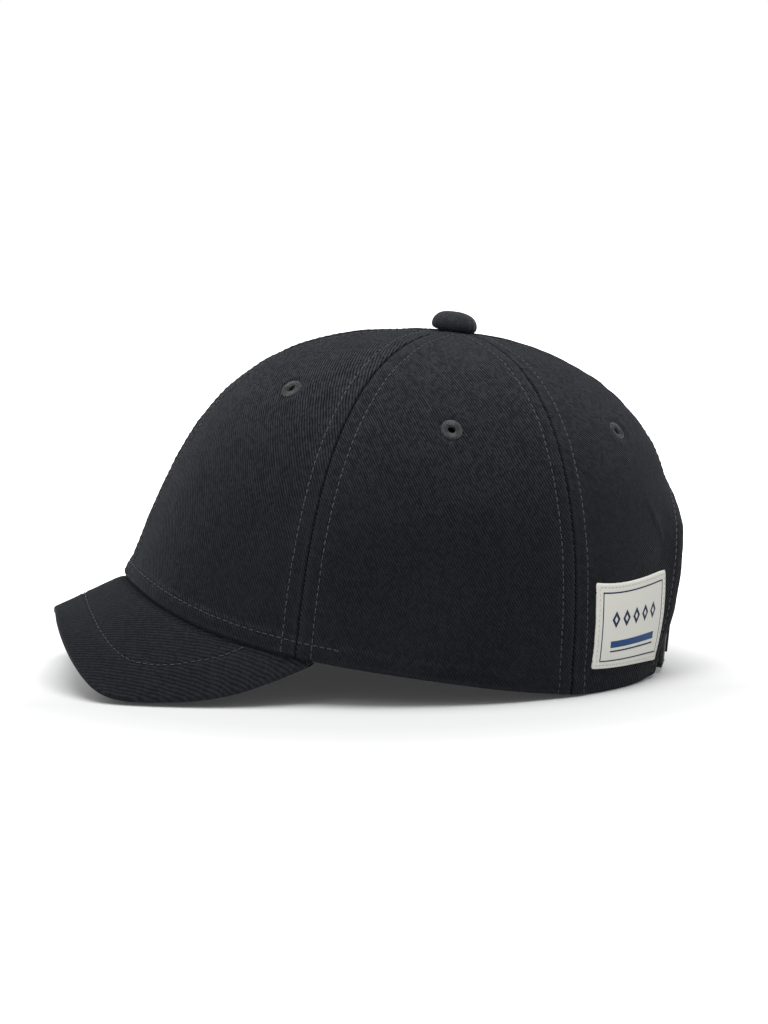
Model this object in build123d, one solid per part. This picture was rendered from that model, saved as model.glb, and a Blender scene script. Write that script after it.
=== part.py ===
# Short-peak bump cap: six-panel twill cap over a removable ABS protective insert.
#
# Frame: millimetres, +Z up, origin on the plane the cap rests on, under the middle of its outline.
# -Y is forward (the peak), +X is the wearer's left, +Y is the rear closure.
#
# Places on the crown are given by a bearing (degrees: front 0, wearer's left 90, rear 180)
# and a drop (0 at the apex, 1 at the rim). Offsets are measured outwards from its outer face.
from build123d import *
import math
import os

# ---------------------------------------------------------------- driving dimensions (mm, degrees)
CROWN_TILT = 5.8174          # the crown leans back, because the peak props up its front
OPEN_Y = 11.14               # centre of the head opening
APEX_Y, APEX_Z = OPEN_Y + 23.05, 128.4     # where the six panels meet
HALF_LENGTH, CENTRE_FWD = 103.48, 11.902   # head opening: half length, shift from the apex
HALF_WIDTH, EGG = 84.77, 0.0119            # half width, and how much it narrows at the front
CROWN_DEPTH = 110.41         # apex to rim, measured down the crown's own axis
RIM_DIP, RIM_SKEW, RIM_LIFT, RIM_WAVE = 10.336, -0.2759, -6.7614, 12.382
SQUARE = 0.0031              # fullness of the opening's diagonals
# Cosine harmonics of the bearing:
SHOULDER = (0.7999, 0.0135, -0.1081, 0.1339)   # fullness at the top
WALL = (0.4842, 0.0188, 0.1395, -0.2000)       # fullness of the lower wall
LEAN = (-1.2365, 13.276, 6.0909)               # lean of the wall at the rim, degrees

FABRIC = 1.1                 # crown panel, twill and its backing
SEAM_GAP = 0.10              # half gap between neighbouring panels
SHANK_HOLE_R = 3.0           # hole left at the apex for the button's rivet
LAYER_GAP = 0.08             # between the crown and a layer laid against it
LINING = -FABRIC - LAYER_GAP # offset of the outer face of layers inside the crown

EYELET_OD, EYELET_ID, EYELET_T = 8.6, 3.0, 2.1
EYELET_CLEAR = 0.1
EYELETS = ((37.8, 0.446), (90.9, 0.406), (150.3, 0.450))   # (bearing, drop) on the left panels

BUTTON_TILT = 8.5            # backward lean of the button's axis

PEAK_PITCH = 23.9            # the peak slopes down this much along its centre line
PEAK_FABRIC, PEAK_BOARD, PEAK_SLACK = 0.7, 1.8, 0.05
PEAK_TOP_DEPTH = 0.15        # top cover's upper face below the rim
PEAK_MARGIN = 1.8            # fabric past the board's outer edge
PEAK_ROOT_END = 67.0         # bearing where the peak's inner edge ends
PEAK_ROOT_GAP = 0.25         # between the rim and the peak's inner edge

SWEAT_HEIGHT, SWEAT_T = 32.0, 1.4
SWEAT_BOTTOM = 0.996         # drop of its lower edge
SWEAT_END = 149.0            # bearing of its ends
SWEAT_GAP, SWEAT_REAR_GAP = 0.85, 3.15   # off the fabric, and what the rear adds to it
SWEAT_STEP = (84.0, 112.0)   # bearings between which the rear gap grows

TAPE_W, TAPE_T = 12.0, 0.5
TAPE_START_R, TAPE_END = 14.0, 0.985     # radius at the top, drop at the bottom
ARCH_HALF_W, ARCH_TOP_Z, ARCH_BASE_Z, ARCH_POWER = 33.5, 64.5, 2.0, 2.3
BIND_W, BIND_T = 7.0, 0.6
BIND_ARC = (143.0, 217.0)
BIND_STRAP_GAP = 2.5         # binding's lower edge above the strap

# Label patch: (bearing, drop) of its corners on the rear left panel
LABEL_TOP = ((127.2, 0.694), (151.4, 0.786))
LABEL_BOTTOM = ((127.3, 0.910), (150.6, 0.962))
LABEL_OUTER = 0.75           # offset of its outer face

AXIS_Y = OPEN_Y + 26.7       # the rear closure runs on a circle about this vertical axis
STRAP_T, STRAP_Z0, STRAP_H = 1.1, 3.6, 20.0
STRAP_R0, STRAP_CONE = 74.10, 0.10   # outer radius at z = 0, and how it opens with height
STRAP_END_DEG = 50.0
BUCKLE_DEG = 17.0

INSERT_GAP = 4.2             # crown's outer face to the insert's outer face
INSERT_CLEAR = 0.8           # between the insert and the sweatband it passes
DRAW_IN_POWER = 26           # how sharply the insert's wall turns in to that limit
SHELL_T = 2.2
SLOT_W = 4.2
UPPER_SLOTS = (0.335, 17.0, (30, 62, 90, 120, 150, 210, 240, 270, 298, 330))
LOWER_SLOTS = (0.56, 15.0, (48, 128, 232, 312))   # (drop, length, bearings)
RIVET_CLEAR_R = 6.5
PAD_T, PAD_GAP = 5.0, 0.42
PAD_TOP, PAD_RIM_GAP = 0.43, 3.0     # drop of its upper edge, height of its lower one over the rim
CROWN_PAD_HALF = 31.0
TABS = ((31, 0.262), (149, 0.30), (211, 0.30), (329, 0.262))   # (bearing, drop)
TAB_HALF, TAB_T, HOOK_GAP = 8.5, 1.15, 0.1

os.makedirs("parts", exist_ok=True)
for old in os.listdir("parts"):
    os.remove(os.path.join("parts", old))


# ---------------------------------------------------------------- small helpers
def mix(start, end, t):
    return start + (end - start) * t


def smooth_step(start, end, x):
    t = max(0.0, min(1.0, (x - start) / (end - start)))
    return t * t * (3 - 2 * t)


def between(start, end):
    return [end[i] - start[i] for i in range(3)]


def unit_cross(a, b):
    cross = (a[1] * b[2] - a[2] * b[1], a[2] * b[0] - a[0] * b[2], a[0] * b[1] - a[1] * b[0])
    size = math.sqrt(sum(x * x for x in cross))
    return tuple(x / size for x in cross)


def largest(shape):
    return max(shape.solids(), key=lambda solid: solid.volume)


def trimmed(shape, *cutters):
    for cutter in cutters:
        shape = shape - cutter
    return largest(shape)


def save(name, *shapes):
    shape = shapes[0] if len(shapes) == 1 else Compound(children=list(shapes))
    export_step(shape, f"parts/{name}.step")


# ---------------------------------------------------------------- the crown's surface
def harmonics(terms, angle):
    return sum(term * math.cos(i * angle) for i, term in enumerate(terms))


def crown(bearing, drop):
    """A point of the crown's outer face; each meridian is a cubic Bezier curve."""
    angle = math.radians(bearing)
    c, s = math.cos(angle), math.sin(angle)
    square = 1 + SQUARE * math.sin(2 * angle) ** 2
    left = HALF_WIDTH * s * square * (1 - EGG * c)
    forward = CENTRE_FWD + HALF_LENGTH * c * square
    depth = (CROWN_DEPTH + RIM_DIP * s * s + RIM_SKEW * c * s * s + RIM_LIFT * c
             + RIM_WAVE * s * s * c * c)
    shoulder, wall = harmonics(SHOULDER, angle), harmonics(WALL, angle)
    lean = math.radians(harmonics(LEAN, angle))
    rim_r = math.hypot(left, forward)
    b1, b2, b3 = 3 * (1 - drop) ** 2 * drop, 3 * (1 - drop) * drop * drop, drop ** 3
    radius = (b1 * shoulder * rim_r + b2 * (rim_r - wall * depth * math.sin(lean))
              + b3 * rim_r)
    up = b2 * (-depth + wall * depth * math.cos(lean)) - b3 * depth
    x, ahead = radius * left / rim_r, radius * forward / rim_r
    tilt = math.radians(CROWN_TILT)
    return (
        x,
        APEX_Y - ahead * math.cos(tilt) + up * math.sin(tilt),
        APEX_Z + ahead * math.sin(tilt) + up * math.cos(tilt),
    )


def crown_normal(bearing, drop):
    turn, step = 0.05, 0.0005
    sideways = between(crown(bearing - turn, drop), crown(bearing + turn, drop))
    downwards = between(crown(bearing, drop - step), crown(bearing, drop + step))
    return unit_cross(downwards, sideways)


def skin(bearing, drop, offset):
    point, normal = crown(bearing, drop), crown_normal(bearing, drop)
    return tuple(point[i] + offset * normal[i] for i in range(3))


def crown_plane(bearing, drop, offset=0.0):
    return Plane(origin=skin(bearing, drop, offset), z_dir=crown_normal(bearing, drop))


def reach(bearing, drop):
    """Plan distance from the apex."""
    point = crown(bearing, drop)
    return math.hypot(point[0], point[1] - APEX_Y)


def solve_drop(test, low=0.05, high=1.0):
    """The drop where the test turns true, for a test that is false at low and true at high."""
    for _ in range(40):
        middle = (low + high) / 2
        if test(middle):
            high = middle
        else:
            low = middle
    return high


def drop_at_reach(bearing, radius):
    return solve_drop(lambda drop: reach(bearing, drop) >= radius, 0.001, 0.5)


def drop_at_height(bearing, height):
    return solve_drop(lambda drop: crown(bearing, drop)[2] <= height)


def drop_above_rim(bearing, distance):
    """The drop that lies this distance up the meridian from the rim."""
    step = 0.004
    total, drop, point = 0.0, 1.0, crown(bearing, 1.0)
    while total < distance and drop > 0.1:
        upper = crown(bearing, drop - step)
        total += math.dist(point, upper)
        point, drop = upper, drop - step
    return drop


def seam(i, drop):
    """Bearing of seam i: 0 front, 1 left front, 2 left rear, 3 rear, and so on round."""
    base = (0.0, 63.1 + 3.2 * (drop - 0.5) ** 2, 121.5 + 8.0 * (drop - 0.6) ** 2, 180.0)
    return base[i] if i < 4 else 360.0 - base[6 - i]


# ---------------------------------------------------------------- solids from grids
# Fits tried in turn: (grid refinement across, refinement down, tolerance)
FITS = ((1, 1, 0.012), (1, 1, 0.02), (2, 1, 0.015), (2, 2, 0.02), (1, 1, 0.04), (3, 1, 0.03),
        (2, 1, 0.08))


def grid_area(grid):
    total = 0.0
    for row, below in zip(grid, grid[1:]):
        for i in range(len(row) - 1):
            total += (row[i + 1] - row[i]).cross(below[i] - row[i]).length / 2
            total += (below[i] - below[i + 1]).cross(row[i + 1] - below[i + 1]).length / 2
    return total


def face_of(surface, count_across, count_down):
    """A smooth face through a grid. The fit is kept only if its area agrees with the grid's."""
    for refine_across, refine_down, tolerance in FITS:
        columns, rows = refine_across * (count_across - 1), refine_down * (count_down - 1)
        grid = [[Vector(*surface(i / columns, j / rows)) for j in range(rows + 1)]
                for i in range(columns + 1)]
        area = grid_area(grid)
        # The fit can fail at a given tolerance; the next one is then tried.
        try:
            face = Face.make_surface_from_array_of_points(
                grid, tol=tolerance, min_deg=3, max_deg=3)
        except Exception:
            continue
        if abs(face.area - area) < 0.01 * area and len(face.edges()) == 4:
            return face
    raise ValueError("no fit")


def edge_near(face, point):
    return min(face.edges(), key=lambda edge: (edge.position_at(0.5) - Vector(*point)).length)


def slab(surface, outer, inner, count_across, count_down):
    """A closed solid between two levels of surface(across, down, level), across and down 0..1."""
    def outer_surface(across, down):
        return surface(across, down, outer)

    def inner_surface(across, down):
        return surface(across, down, inner)

    outer_face = face_of(outer_surface, count_across, count_down)
    inner_face = face_of(inner_surface, count_across, count_down)
    faces = [outer_face, inner_face]
    for side in ((0, 0.5), (1, 0.5), (0.5, 0), (0.5, 1)):
        outer_edge = edge_near(outer_face, outer_surface(*side))
        inner_edge = edge_near(inner_face, inner_surface(*side))
        faces.append(Face.make_surface_from_curves(outer_edge, inner_edge))
    solid = Solid(Shell(faces))
    return solid if solid.volume > 0 else Solid(Shell([-face for face in faces]))


# ---------------------------------------------------------------- common cutters
def arch_prism(grow=0.0):
    """The rear opening's superelliptic arch, open below, run rearwards from y = 0."""
    half, top = ARCH_HALF_W + grow, ARCH_TOP_Z + grow
    points = []
    for i in range(25):
        angle = math.pi * i / 24
        c, s = math.cos(angle), math.sin(angle)
        x = half * math.copysign(abs(c) ** (2 / ARCH_POWER), c)
        z = ARCH_BASE_Z + (top - ARCH_BASE_Z) * abs(s) ** (2 / ARCH_POWER)
        points.append(Vector(x, 0, z))
    curve = Spline(*points)
    foot = Polyline(points[-1], Vector(-half, 0, -30), Vector(half, 0, -30), points[0])
    return extrude(Face(Wire([curve] + list(foot.edges()))), amount=140, dir=(0, 1, 0))


ARCH = arch_prism()
BELOW = Pos(0, 0, -50) * Box(400, 400, 100)   # everything under the resting plane


# ---------------------------------------------------------------- crown panels and eyelets
PANEL_NAMES = ("front_panel_left", "side_panel_left", "rear_panel_left",
               "rear_panel_right", "side_panel_right", "front_panel_right")


def panel(i):
    """The panel between seams i and i + 1."""
    def surface(across, down, offset):
        drop = mix(drop_at_reach(seam(i, 0), SHANK_HOLE_R), 1.0, down)
        start, end = seam(i, drop), seam(i + 1, drop)
        gap = math.degrees(SEAM_GAP / max(reach((start + end) / 2, drop), 1.0))
        return skin(mix(start + gap, end - gap, across), drop, offset)
    return slab(surface, 0.0, -FABRIC, 17, 25)


def eyelet_ring(spot):
    ring = Cylinder(EYELET_OD / 2, EYELET_T) - Cylinder(EYELET_ID / 2, EYELET_T + 1)
    return largest(crown_plane(*spot, -FABRIC / 2) * ring)


rings = []
for i, name in enumerate(PANEL_NAMES):
    spot = EYELETS[i] if i < 3 else (360.0 - EYELETS[5 - i][0], EYELETS[5 - i][1])
    hole = crown_plane(*spot) * Cylinder(EYELET_OD / 2 + EYELET_CLEAR, 8)
    cutters = [hole, BELOW]
    if name.startswith("rear"):
        cutters.append(ARCH)
    save(name, trimmed(panel(i), *cutters))
    rings.append(eyelet_ring(spot))
save("vent_eyelets", *rings)


# ---------------------------------------------------------------- crown button
BUTTON_PLANE = Plane(
    origin=crown(0, 0.0005),
    z_dir=(0, math.sin(math.radians(BUTTON_TILT)), math.cos(math.radians(BUTTON_TILT))),
)
# Half profiles: (radius, height along the button's axis)
BUTTON_PROFILES = {
    "crown_button": (
        (0.0, 7.1), (1.5, 7.05), (3.0, 6.85), (4.5, 6.45), (6.0, 5.8), (7.2, 4.95),
        (8.0, 3.9), (8.45, 2.8), (8.5, 2.1), (8.2, 1.45), (7.4, 1.0), (1.95, 1.0),
        (1.95, 4.2), (0.0, 4.2)),
    "button_rivet": (
        (0, 4.1), (1.85, 4.1), (1.85, -2.6), (6.0, -2.6), (6.0, -3.3), (0, -3.3)),
    "button_backing": ((1.95, -1.75), (11.0, -2.3), (11.0, -2.5), (1.95, -2.5)),
}


def turned(profile):
    outline = Polyline(*[Vector(radius, 0, z) for radius, z in profile], close=True)
    return largest(BUTTON_PLANE * revolve(Face(Wire(outline.edges())), Axis.Z, 360))


for name, profile in BUTTON_PROFILES.items():
    save(name, turned(profile))


# ---------------------------------------------------------------- peak
# Straight rulings run from the rim in this direction.
PEAK_DIR = (0.0, -math.cos(math.radians(PEAK_PITCH)), -math.sin(math.radians(PEAK_PITCH)))
# Outer outline, centre to end: (rim bearing, length of the ruling there)
OUTLINE = (
    (0, 28.4), (10, 29.3), (18.5, 31.6), (25, 34.4), (32.3, 38.0), (38.4, 41.2),
    (43.1, 43.4), (47.0, 44.9), (50.3, 45.4), (53.7, 44.6), (57.7, 42.0), (61.1, 38.2),
    (64.1, 32.5), (66.0, 25.5), (67.0, 17.0), (67.5, 8.0), (67.6, 3.0),
)
OUTLINE_RADIUS = 92.0        # turns bearings into lengths when the outline is measured
INSET_TURN = 190.0           # how slowly an inset draws in the bearings
INSET_MIN_RULING = 6.0       # shorter rulings are inset as if this long

flat = [(math.radians(bearing) * OUTLINE_RADIUS, length) for bearing, length in OUTLINE]
OUTLINE_RUN = [0.0]          # chord length from the centre to each point
for start, end in zip(flat, flat[1:]):
    OUTLINE_RUN.append(OUTLINE_RUN[-1] + math.dist(start, end))


def outline_point(share):
    """(bearing, ruling length) at a share of the outline, by Catmull-Rom interpolation."""
    run = share * OUTLINE_RUN[-1]
    k = next(k for k in range(len(OUTLINE) - 1) if run <= OUTLINE_RUN[k + 1] + 1e-9)
    t = (run - OUTLINE_RUN[k]) / (OUTLINE_RUN[k + 1] - OUTLINE_RUN[k])
    before = OUTLINE[k - 1] if k else (-OUTLINE[1][0], OUTLINE[1][1])
    after = OUTLINE[min(len(OUTLINE) - 1, k + 2)]
    return tuple(
        0.5 * (2 * p1 + (p2 - p0) * t + (2 * p0 - 5 * p1 + 4 * p2 - p3) * t * t
               + (3 * p1 - 3 * p2 + p3 - p0) * t ** 3)
        for p0, p1, p2, p3 in zip(before, OUTLINE[k], OUTLINE[k + 1], after))


def peak_normal(bearing):
    along_rim = between(crown(bearing - 0.2, 1.0), crown(bearing + 0.2, 1.0))
    normal = unit_cross(along_rim, PEAK_DIR)
    return normal if normal[2] > 0 else tuple(-x for x in normal)


def peak_layer(depth, thickness, inset):
    """A layer of the peak, its outer edge drawn in by the inset."""
    def surface(across, down, level):
        across = 2 * across - 1          # -1 at the right end, 1 at the left
        share = abs(across)
        sign = 1 if across >= 0 else -1
        edge_bearing, length = outline_point(share)
        shrink = max(0.0, 1 - inset / max(length, INSET_MIN_RULING))
        bearing = sign * mix(PEAK_ROOT_END * share, edge_bearing * (1 - inset / INSET_TURN), down)
        ruling = mix(PEAK_ROOT_GAP, length * shrink, down)
        point, normal = crown(bearing, 1.0), peak_normal(bearing)
        return tuple(point[i] + ruling * PEAK_DIR[i] - level * normal[i] for i in range(3))
    return slab(surface, depth, depth + thickness, 61, 13)


depth = PEAK_TOP_DEPTH
for name, thickness, inset in (
    ("peak_top_cover", PEAK_FABRIC, 0.0),
    ("peak_board", PEAK_BOARD, PEAK_MARGIN),
    ("peak_under_cover", PEAK_FABRIC, 0.0),
):
    save(name, trimmed(peak_layer(depth, thickness, inset), BELOW))
    depth += thickness + PEAK_SLACK


# ---------------------------------------------------------------- sweatband
def sweat_depth(bearing):
    """How far the sweatband's outer face lies inside the crown's outer face."""
    from_front = abs((bearing + 180) % 360 - 180)
    return FABRIC + SWEAT_GAP + SWEAT_REAR_GAP * smooth_step(*SWEAT_STEP, from_front)


def sweatband():
    def surface(across, down, depth):
        bearing = mix(-SWEAT_END, SWEAT_END, across)
        drop = mix(SWEAT_BOTTOM, drop_above_rim(bearing, SWEAT_HEIGHT), down)
        return skin(bearing, drop, -(sweat_depth(bearing) + depth))
    return trimmed(slab(surface, 0.0, SWEAT_T, 61, 9), BELOW, arch_prism(1.0))


save("sweatband", sweatband())


# ---------------------------------------------------------------- seam tapes
def tape(i, end):
    def surface(across, down, offset):
        drop = mix(drop_at_reach(seam(i, 0.1), TAPE_START_R), end, down)
        bearing = seam(i, drop)
        half = math.degrees(math.asin(min(0.98, TAPE_W / 2 / reach(bearing, drop))))
        return skin(bearing + mix(-half, half, across), drop, offset)
    return trimmed(slab(surface, LINING, LINING - TAPE_T, 5, 21), BELOW)


REAR_TAPE_END = drop_at_height(180, ARCH_TOP_Z + BIND_W + 1.5)   # stops above the binding
for i, place, end in (
    (0, "front", TAPE_END),
    (1, "front_left", TAPE_END),
    (2, "rear_left", TAPE_END),
    (4, "rear_right", TAPE_END),
    (5, "front_right", TAPE_END),
    (3, "rear", REAR_TAPE_END),
):
    save(f"seam_tape_{place}", tape(i, end))


# ---------------------------------------------------------------- rear opening's binding
def binding():
    top = drop_at_height(180, ARCH_TOP_Z + BIND_W + 3.0)

    def surface(across, down, offset):
        return skin(mix(*BIND_ARC, across), mix(top, 0.998, down), offset)

    band = slab(surface, LINING, LINING - BIND_T, 21, 21) & arch_prism(BIND_W)
    strap_zone = Pos(0, 90, -50 + STRAP_Z0 + STRAP_H + BIND_STRAP_GAP) * Box(160, 160, 100)
    return trimmed(band, ARCH, strap_zone)


save("rear_opening_binding", binding())


# ---------------------------------------------------------------- label patch
def label_surface(across, down, offset):
    bearing, drop = (
        mix(mix(LABEL_TOP[0][k], LABEL_TOP[1][k], across),
            mix(LABEL_BOTTOM[0][k], LABEL_BOTTOM[1][k], across), down)
        for k in range(2))
    return skin(bearing, drop, offset)


save("label_patch", slab(label_surface, LABEL_OUTER, LAYER_GAP, 9, 9))


# ---------------------------------------------------------------- rear strap
def strap_r(z):
    return STRAP_R0 + STRAP_CONE * z


def arc_slab(bottom, top, start, end, outer, inner, count):
    """A band on the closure's circle: angles from the rear towards the wearer's left."""
    def surface(across, up, offset):
        z, angle = mix(bottom, top, up), math.radians(mix(start, end, across))
        radius = strap_r(z) + offset
        return (radius * math.sin(angle), AXIS_Y + radius * math.cos(angle), z)
    return slab(surface, outer, inner, count, 5)


save("rear_strap", arc_slab(
    STRAP_Z0, STRAP_Z0 + STRAP_H, -STRAP_END_DEG, STRAP_END_DEG, 0.0, -STRAP_T, 41))


# ---------------------------------------------------------------- buckle
PLATE_T, PLATE_L, PLATE_X = 0.8, 15.0, -1.0
PLATE_OUTER = -STRAP_T / 2 - 0.65    # back plate's outer face, clear of the strap's curve
PLATE_MID = PLATE_OUTER - PLATE_T / 2
INNER_H = STRAP_H + 1.6              # between the lugs
LUG_T, LUG_Z, LUG_DEPTH = 0.8, 0.55, 5.4
SLOT_X, LOOP_SLOT_W = 4.6, 1.9
PIN_X, PIN_Z, PIN_R = 4.2, STRAP_T / 2 + 1.55, 0.75
PIN_CLEAR = 0.03
LEVER_H = INNER_H - 0.5
LOOP_INSET, LOOP_T, LOOP_GAP = 1.2, 0.8, 0.25


def buckle_plane():
    """Local x along the strap towards the wearer's left, y down, z outwards."""
    angle, lean = math.radians(BUCKLE_DEG), math.atan(STRAP_CONE)
    middle_z = STRAP_Z0 + STRAP_H / 2
    radius = strap_r(middle_z) - STRAP_T / 2
    return Plane(
        origin=(radius * math.sin(angle), AXIS_Y + radius * math.cos(angle), middle_z),
        x_dir=(math.cos(angle), -math.sin(angle), 0),
        z_dir=(math.sin(angle) * math.cos(lean), math.cos(angle) * math.cos(lean),
               -math.sin(lean)),
    )


BUCKLE = buckle_plane()
PIN_LINE = BUCKLE * Pos(PIN_X, 0, PIN_Z) * Rot(90, 0, 0)


def buckle_box(x, y, z, length, height, thickness):
    return BUCKLE * Pos(x, y, z) * Box(length, height, thickness)


def buckle_frame():
    frame = buckle_box(PLATE_X, 0, PLATE_MID, PLATE_L, INNER_H + 2 * LUG_T, PLATE_T)
    for side in (-1, 1):
        y = side * (INNER_H / 2 + LUG_T / 2)
        frame = frame + buckle_box(PLATE_X, y, LUG_Z, PLATE_L, LUG_T, LUG_DEPTH)
    loop_slot = buckle_box(SLOT_X, 0, PLATE_MID, LOOP_SLOT_W, STRAP_H - 1.0, PLATE_T + 2)
    return trimmed(frame, loop_slot, PIN_LINE * Cylinder(PIN_R, INNER_H + 6))


def buckle_clamp():
    """Lever: a knuckle round the pin, a flat plate over the strap, and a lip at its end."""
    knuckle = PIN_LINE * Cylinder(PIN_R + 0.65, LEVER_H)
    plate = buckle_box(PIN_X - 6.2, 0, PIN_Z + 0.55, 12.6, LEVER_H, 0.9)
    lip = buckle_box(PIN_X - 12.4, 0, PIN_Z + 0.95, 1.0, INNER_H - 6.0, 1.7)
    return trimmed(knuckle + plate + lip, PIN_LINE * Cylinder(PIN_R + PIN_CLEAR, INNER_H + 4))


def buckle_loop():
    """Fabric loop that holds the buckle to the left rear panel."""
    outer = -STRAP_T - LOOP_GAP
    loop = arc_slab(
        STRAP_Z0 + LOOP_INSET, STRAP_Z0 + STRAP_H - LOOP_INSET,
        BUCKLE_DEG + 5.2, 38.0, outer, outer - LOOP_T, 15)
    keep_out = buckle_box(PLATE_X, 0, PLATE_MID, PLATE_L + 0.2, INNER_H + 3, PLATE_T + 0.16)
    return trimmed(loop, keep_out)


save("buckle_frame", buckle_frame())
save("buckle_pin", largest(PIN_LINE * Cylinder(PIN_R - PIN_CLEAR, INNER_H + 1.55)))
save("buckle_clamp", buckle_clamp())
save("buckle_loop", buckle_loop())


# ---------------------------------------------------------------- protective insert's surface
def insert_limits():
    """For each whole degree of plan angle from the front, how far out the insert may stand
    and still clear the sweatband as the cap lifts off it."""
    points = []
    for k in range(720):
        bearing = k / 2
        inset = sweat_depth(bearing) + SWEAT_T
        top = drop_above_rim(bearing, SWEAT_HEIGHT)
        for j in range(5):
            x, y, _ = skin(bearing, mix(0.999, top, j / 4), -inset)
            points.append((math.degrees(math.atan2(x, OPEN_Y - y)) % 360,
                           math.hypot(x, y - OPEN_Y)))
    limits = []
    for degree in range(360):
        near = [radius for angle, radius in points
                if abs((angle - degree + 180) % 360 - 180) < 1.2]
        limits.append(min(near) - INSERT_CLEAR)
    return limits


INSERT_LIMITS = insert_limits()


def insert_skin(bearing, drop, depth):
    """A point this deep under the insert's outer face, drawn in low down to pass the sweatband."""
    x, y, z = skin(bearing, drop, -(INSERT_GAP + depth))
    y -= OPEN_Y
    radius = math.hypot(x, y)
    if radius > 1e-6:
        angle = math.degrees(math.atan2(x, -y)) % 360
        degree = int(angle)
        low, high = INSERT_LIMITS[degree % 360], INSERT_LIMITS[(degree + 1) % 360]
        limit = mix(low, high, angle - degree) - depth
        factor = (1 + (radius / limit) ** DRAW_IN_POWER) ** (-1 / DRAW_IN_POWER)
        x, y = x * factor, y * factor
    return (x, y + OPEN_Y, z)


def insert_drop_at(bearing, height, depth):
    return solve_drop(lambda drop: insert_skin(bearing, drop, depth)[2] <= height)


def insert_rim(bearing, depth):
    angle = math.radians(bearing)
    height = 53.5 + 18.5 * math.cos(2 * angle) + 1.0 * math.cos(angle)
    return insert_drop_at(bearing, height, depth)


def plan_bearing(x, y):
    """The bearing whose meridian leaves the apex in the plan direction (x, y)."""
    wanted = math.degrees(math.atan2(x, -y))
    bearing = wanted
    for _ in range(8):
        point = crown(bearing, 0.3)
        found = math.degrees(math.atan2(point[0], -(point[1] - APEX_Y)))
        bearing += (wanted - found + 180) % 360 - 180
    return (bearing + 180) % 360 - 180


# ---------------------------------------------------------------- insert's shell
def dome_surface(across, down, depth):
    """The whole insert as one four-sided patch: the square is laid on a disc about the apex."""
    side, back = 2 * across - 1, 2 * down - 1
    x, y = side * math.sqrt(1 - back * back / 2), back * math.sqrt(1 - side * side / 2)
    share = math.hypot(x, y)
    bearing = plan_bearing(x, y) if share > 1e-9 else 0.0
    return insert_skin(bearing, max(insert_rim(bearing, depth) * share, 0.002), depth)


def slot_cutter(bearing, drop, length):
    """A round-ended slot, its length down the meridian."""
    start = skin(bearing, drop, -INSERT_GAP)
    lower = skin(bearing, drop + 0.01, -INSERT_GAP)
    plane = Plane(
        origin=start,
        x_dir=Vector(*between(start, lower)).normalized(),
        z_dir=crown_normal(bearing, drop),
    )
    straight = length - SLOT_W
    body = Box(straight, SLOT_W, 14)
    for end in (straight / 2, -straight / 2):
        body = body + Pos(end, 0, 0) * Cylinder(SLOT_W / 2, 14)
    return plane * body


def bump_shell():
    cutters = [slot_cutter(bearing, drop, length)
               for drop, length, bearings in (UPPER_SLOTS, LOWER_SLOTS)
               for bearing in bearings]
    cutters.append(BUTTON_PLANE * Cylinder(RIVET_CLEAR_R, 40))
    return trimmed(slab(dome_surface, 0.0, SHELL_T, 41, 41), *cutters)


save("bump_shell", bump_shell())


# ---------------------------------------------------------------- insert's pads
def pad(start, end):
    """A wall pad inside the shell, between two bearings."""
    def surface(across, down, depth):
        bearing = mix(start, end, across)
        rim_z = insert_skin(bearing, insert_rim(bearing, depth), depth)[2]
        bottom = insert_drop_at(bearing, rim_z + PAD_RIM_GAP, depth)
        return insert_skin(bearing, mix(PAD_TOP, bottom, down), depth)
    return slab(surface, SHELL_T + PAD_GAP, SHELL_T + PAD_GAP + PAD_T, 15, 11)


def pillow(bearing, drop, half, outer, inner, count):
    """A square with bowed sides about a spot on the crown, half its width given."""
    centre = crown(bearing, drop)

    def surface(across, down, offset):
        side, back = 2 * across - 1, 2 * down - 1
        x = centre[0] + half * side * math.sqrt(1 - 0.36 * back * back)
        y = centre[1] - APEX_Y + half * back * math.sqrt(1 - 0.36 * side * side)
        radius = math.hypot(x, y)
        direction = plan_bearing(x, y) if radius > 1e-9 else 0.0
        return skin(direction, drop_at_reach(direction, max(radius, 0.3)), offset)
    return slab(surface, outer, inner, count, count)


for name, start, end in (
    ("front_pad", -40, 40),
    ("left_pad", 64, 116),
    ("right_pad", 244, 296),
    ("rear_pad", 144, 216),
):
    save(name, pad(start, end))
pad_outer = -INSERT_GAP - SHELL_T - PAD_GAP
save("crown_pad", pillow(0, 0.001, CROWN_PAD_HALF, pad_outer, pad_outer - PAD_T, 15))


# ---------------------------------------------------------------- tabs that hold the insert
def tabs(inner):
    """One tab at each spot, its inner face at this offset."""
    return [pillow(*spot, TAB_HALF, inner + TAB_T, inner, 7) for spot in TABS]


save("loop_tabs", *tabs(LINING - TAB_T))
save("hook_tabs", *tabs(-INSERT_GAP + HOOK_GAP))
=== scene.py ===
"""A six-panel cap with a peak, a rear strap and a protective insert, built over its CAD pieces.

Metres, +Z up. The peak points along -Y, the wearer's left is +X and the floor lies just below
Z = 0. Shapes are worked out in millimetres and scaled when a mesh is made. A point of the crown
is given by `angle`, in degrees from the front over the wearer's left, and `drop`, from 0 at the
apex to 1 at the rim.
"""
import math
import bpy
import numpy as np
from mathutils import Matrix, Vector
from mathutils.kdtree import KDTree


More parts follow.
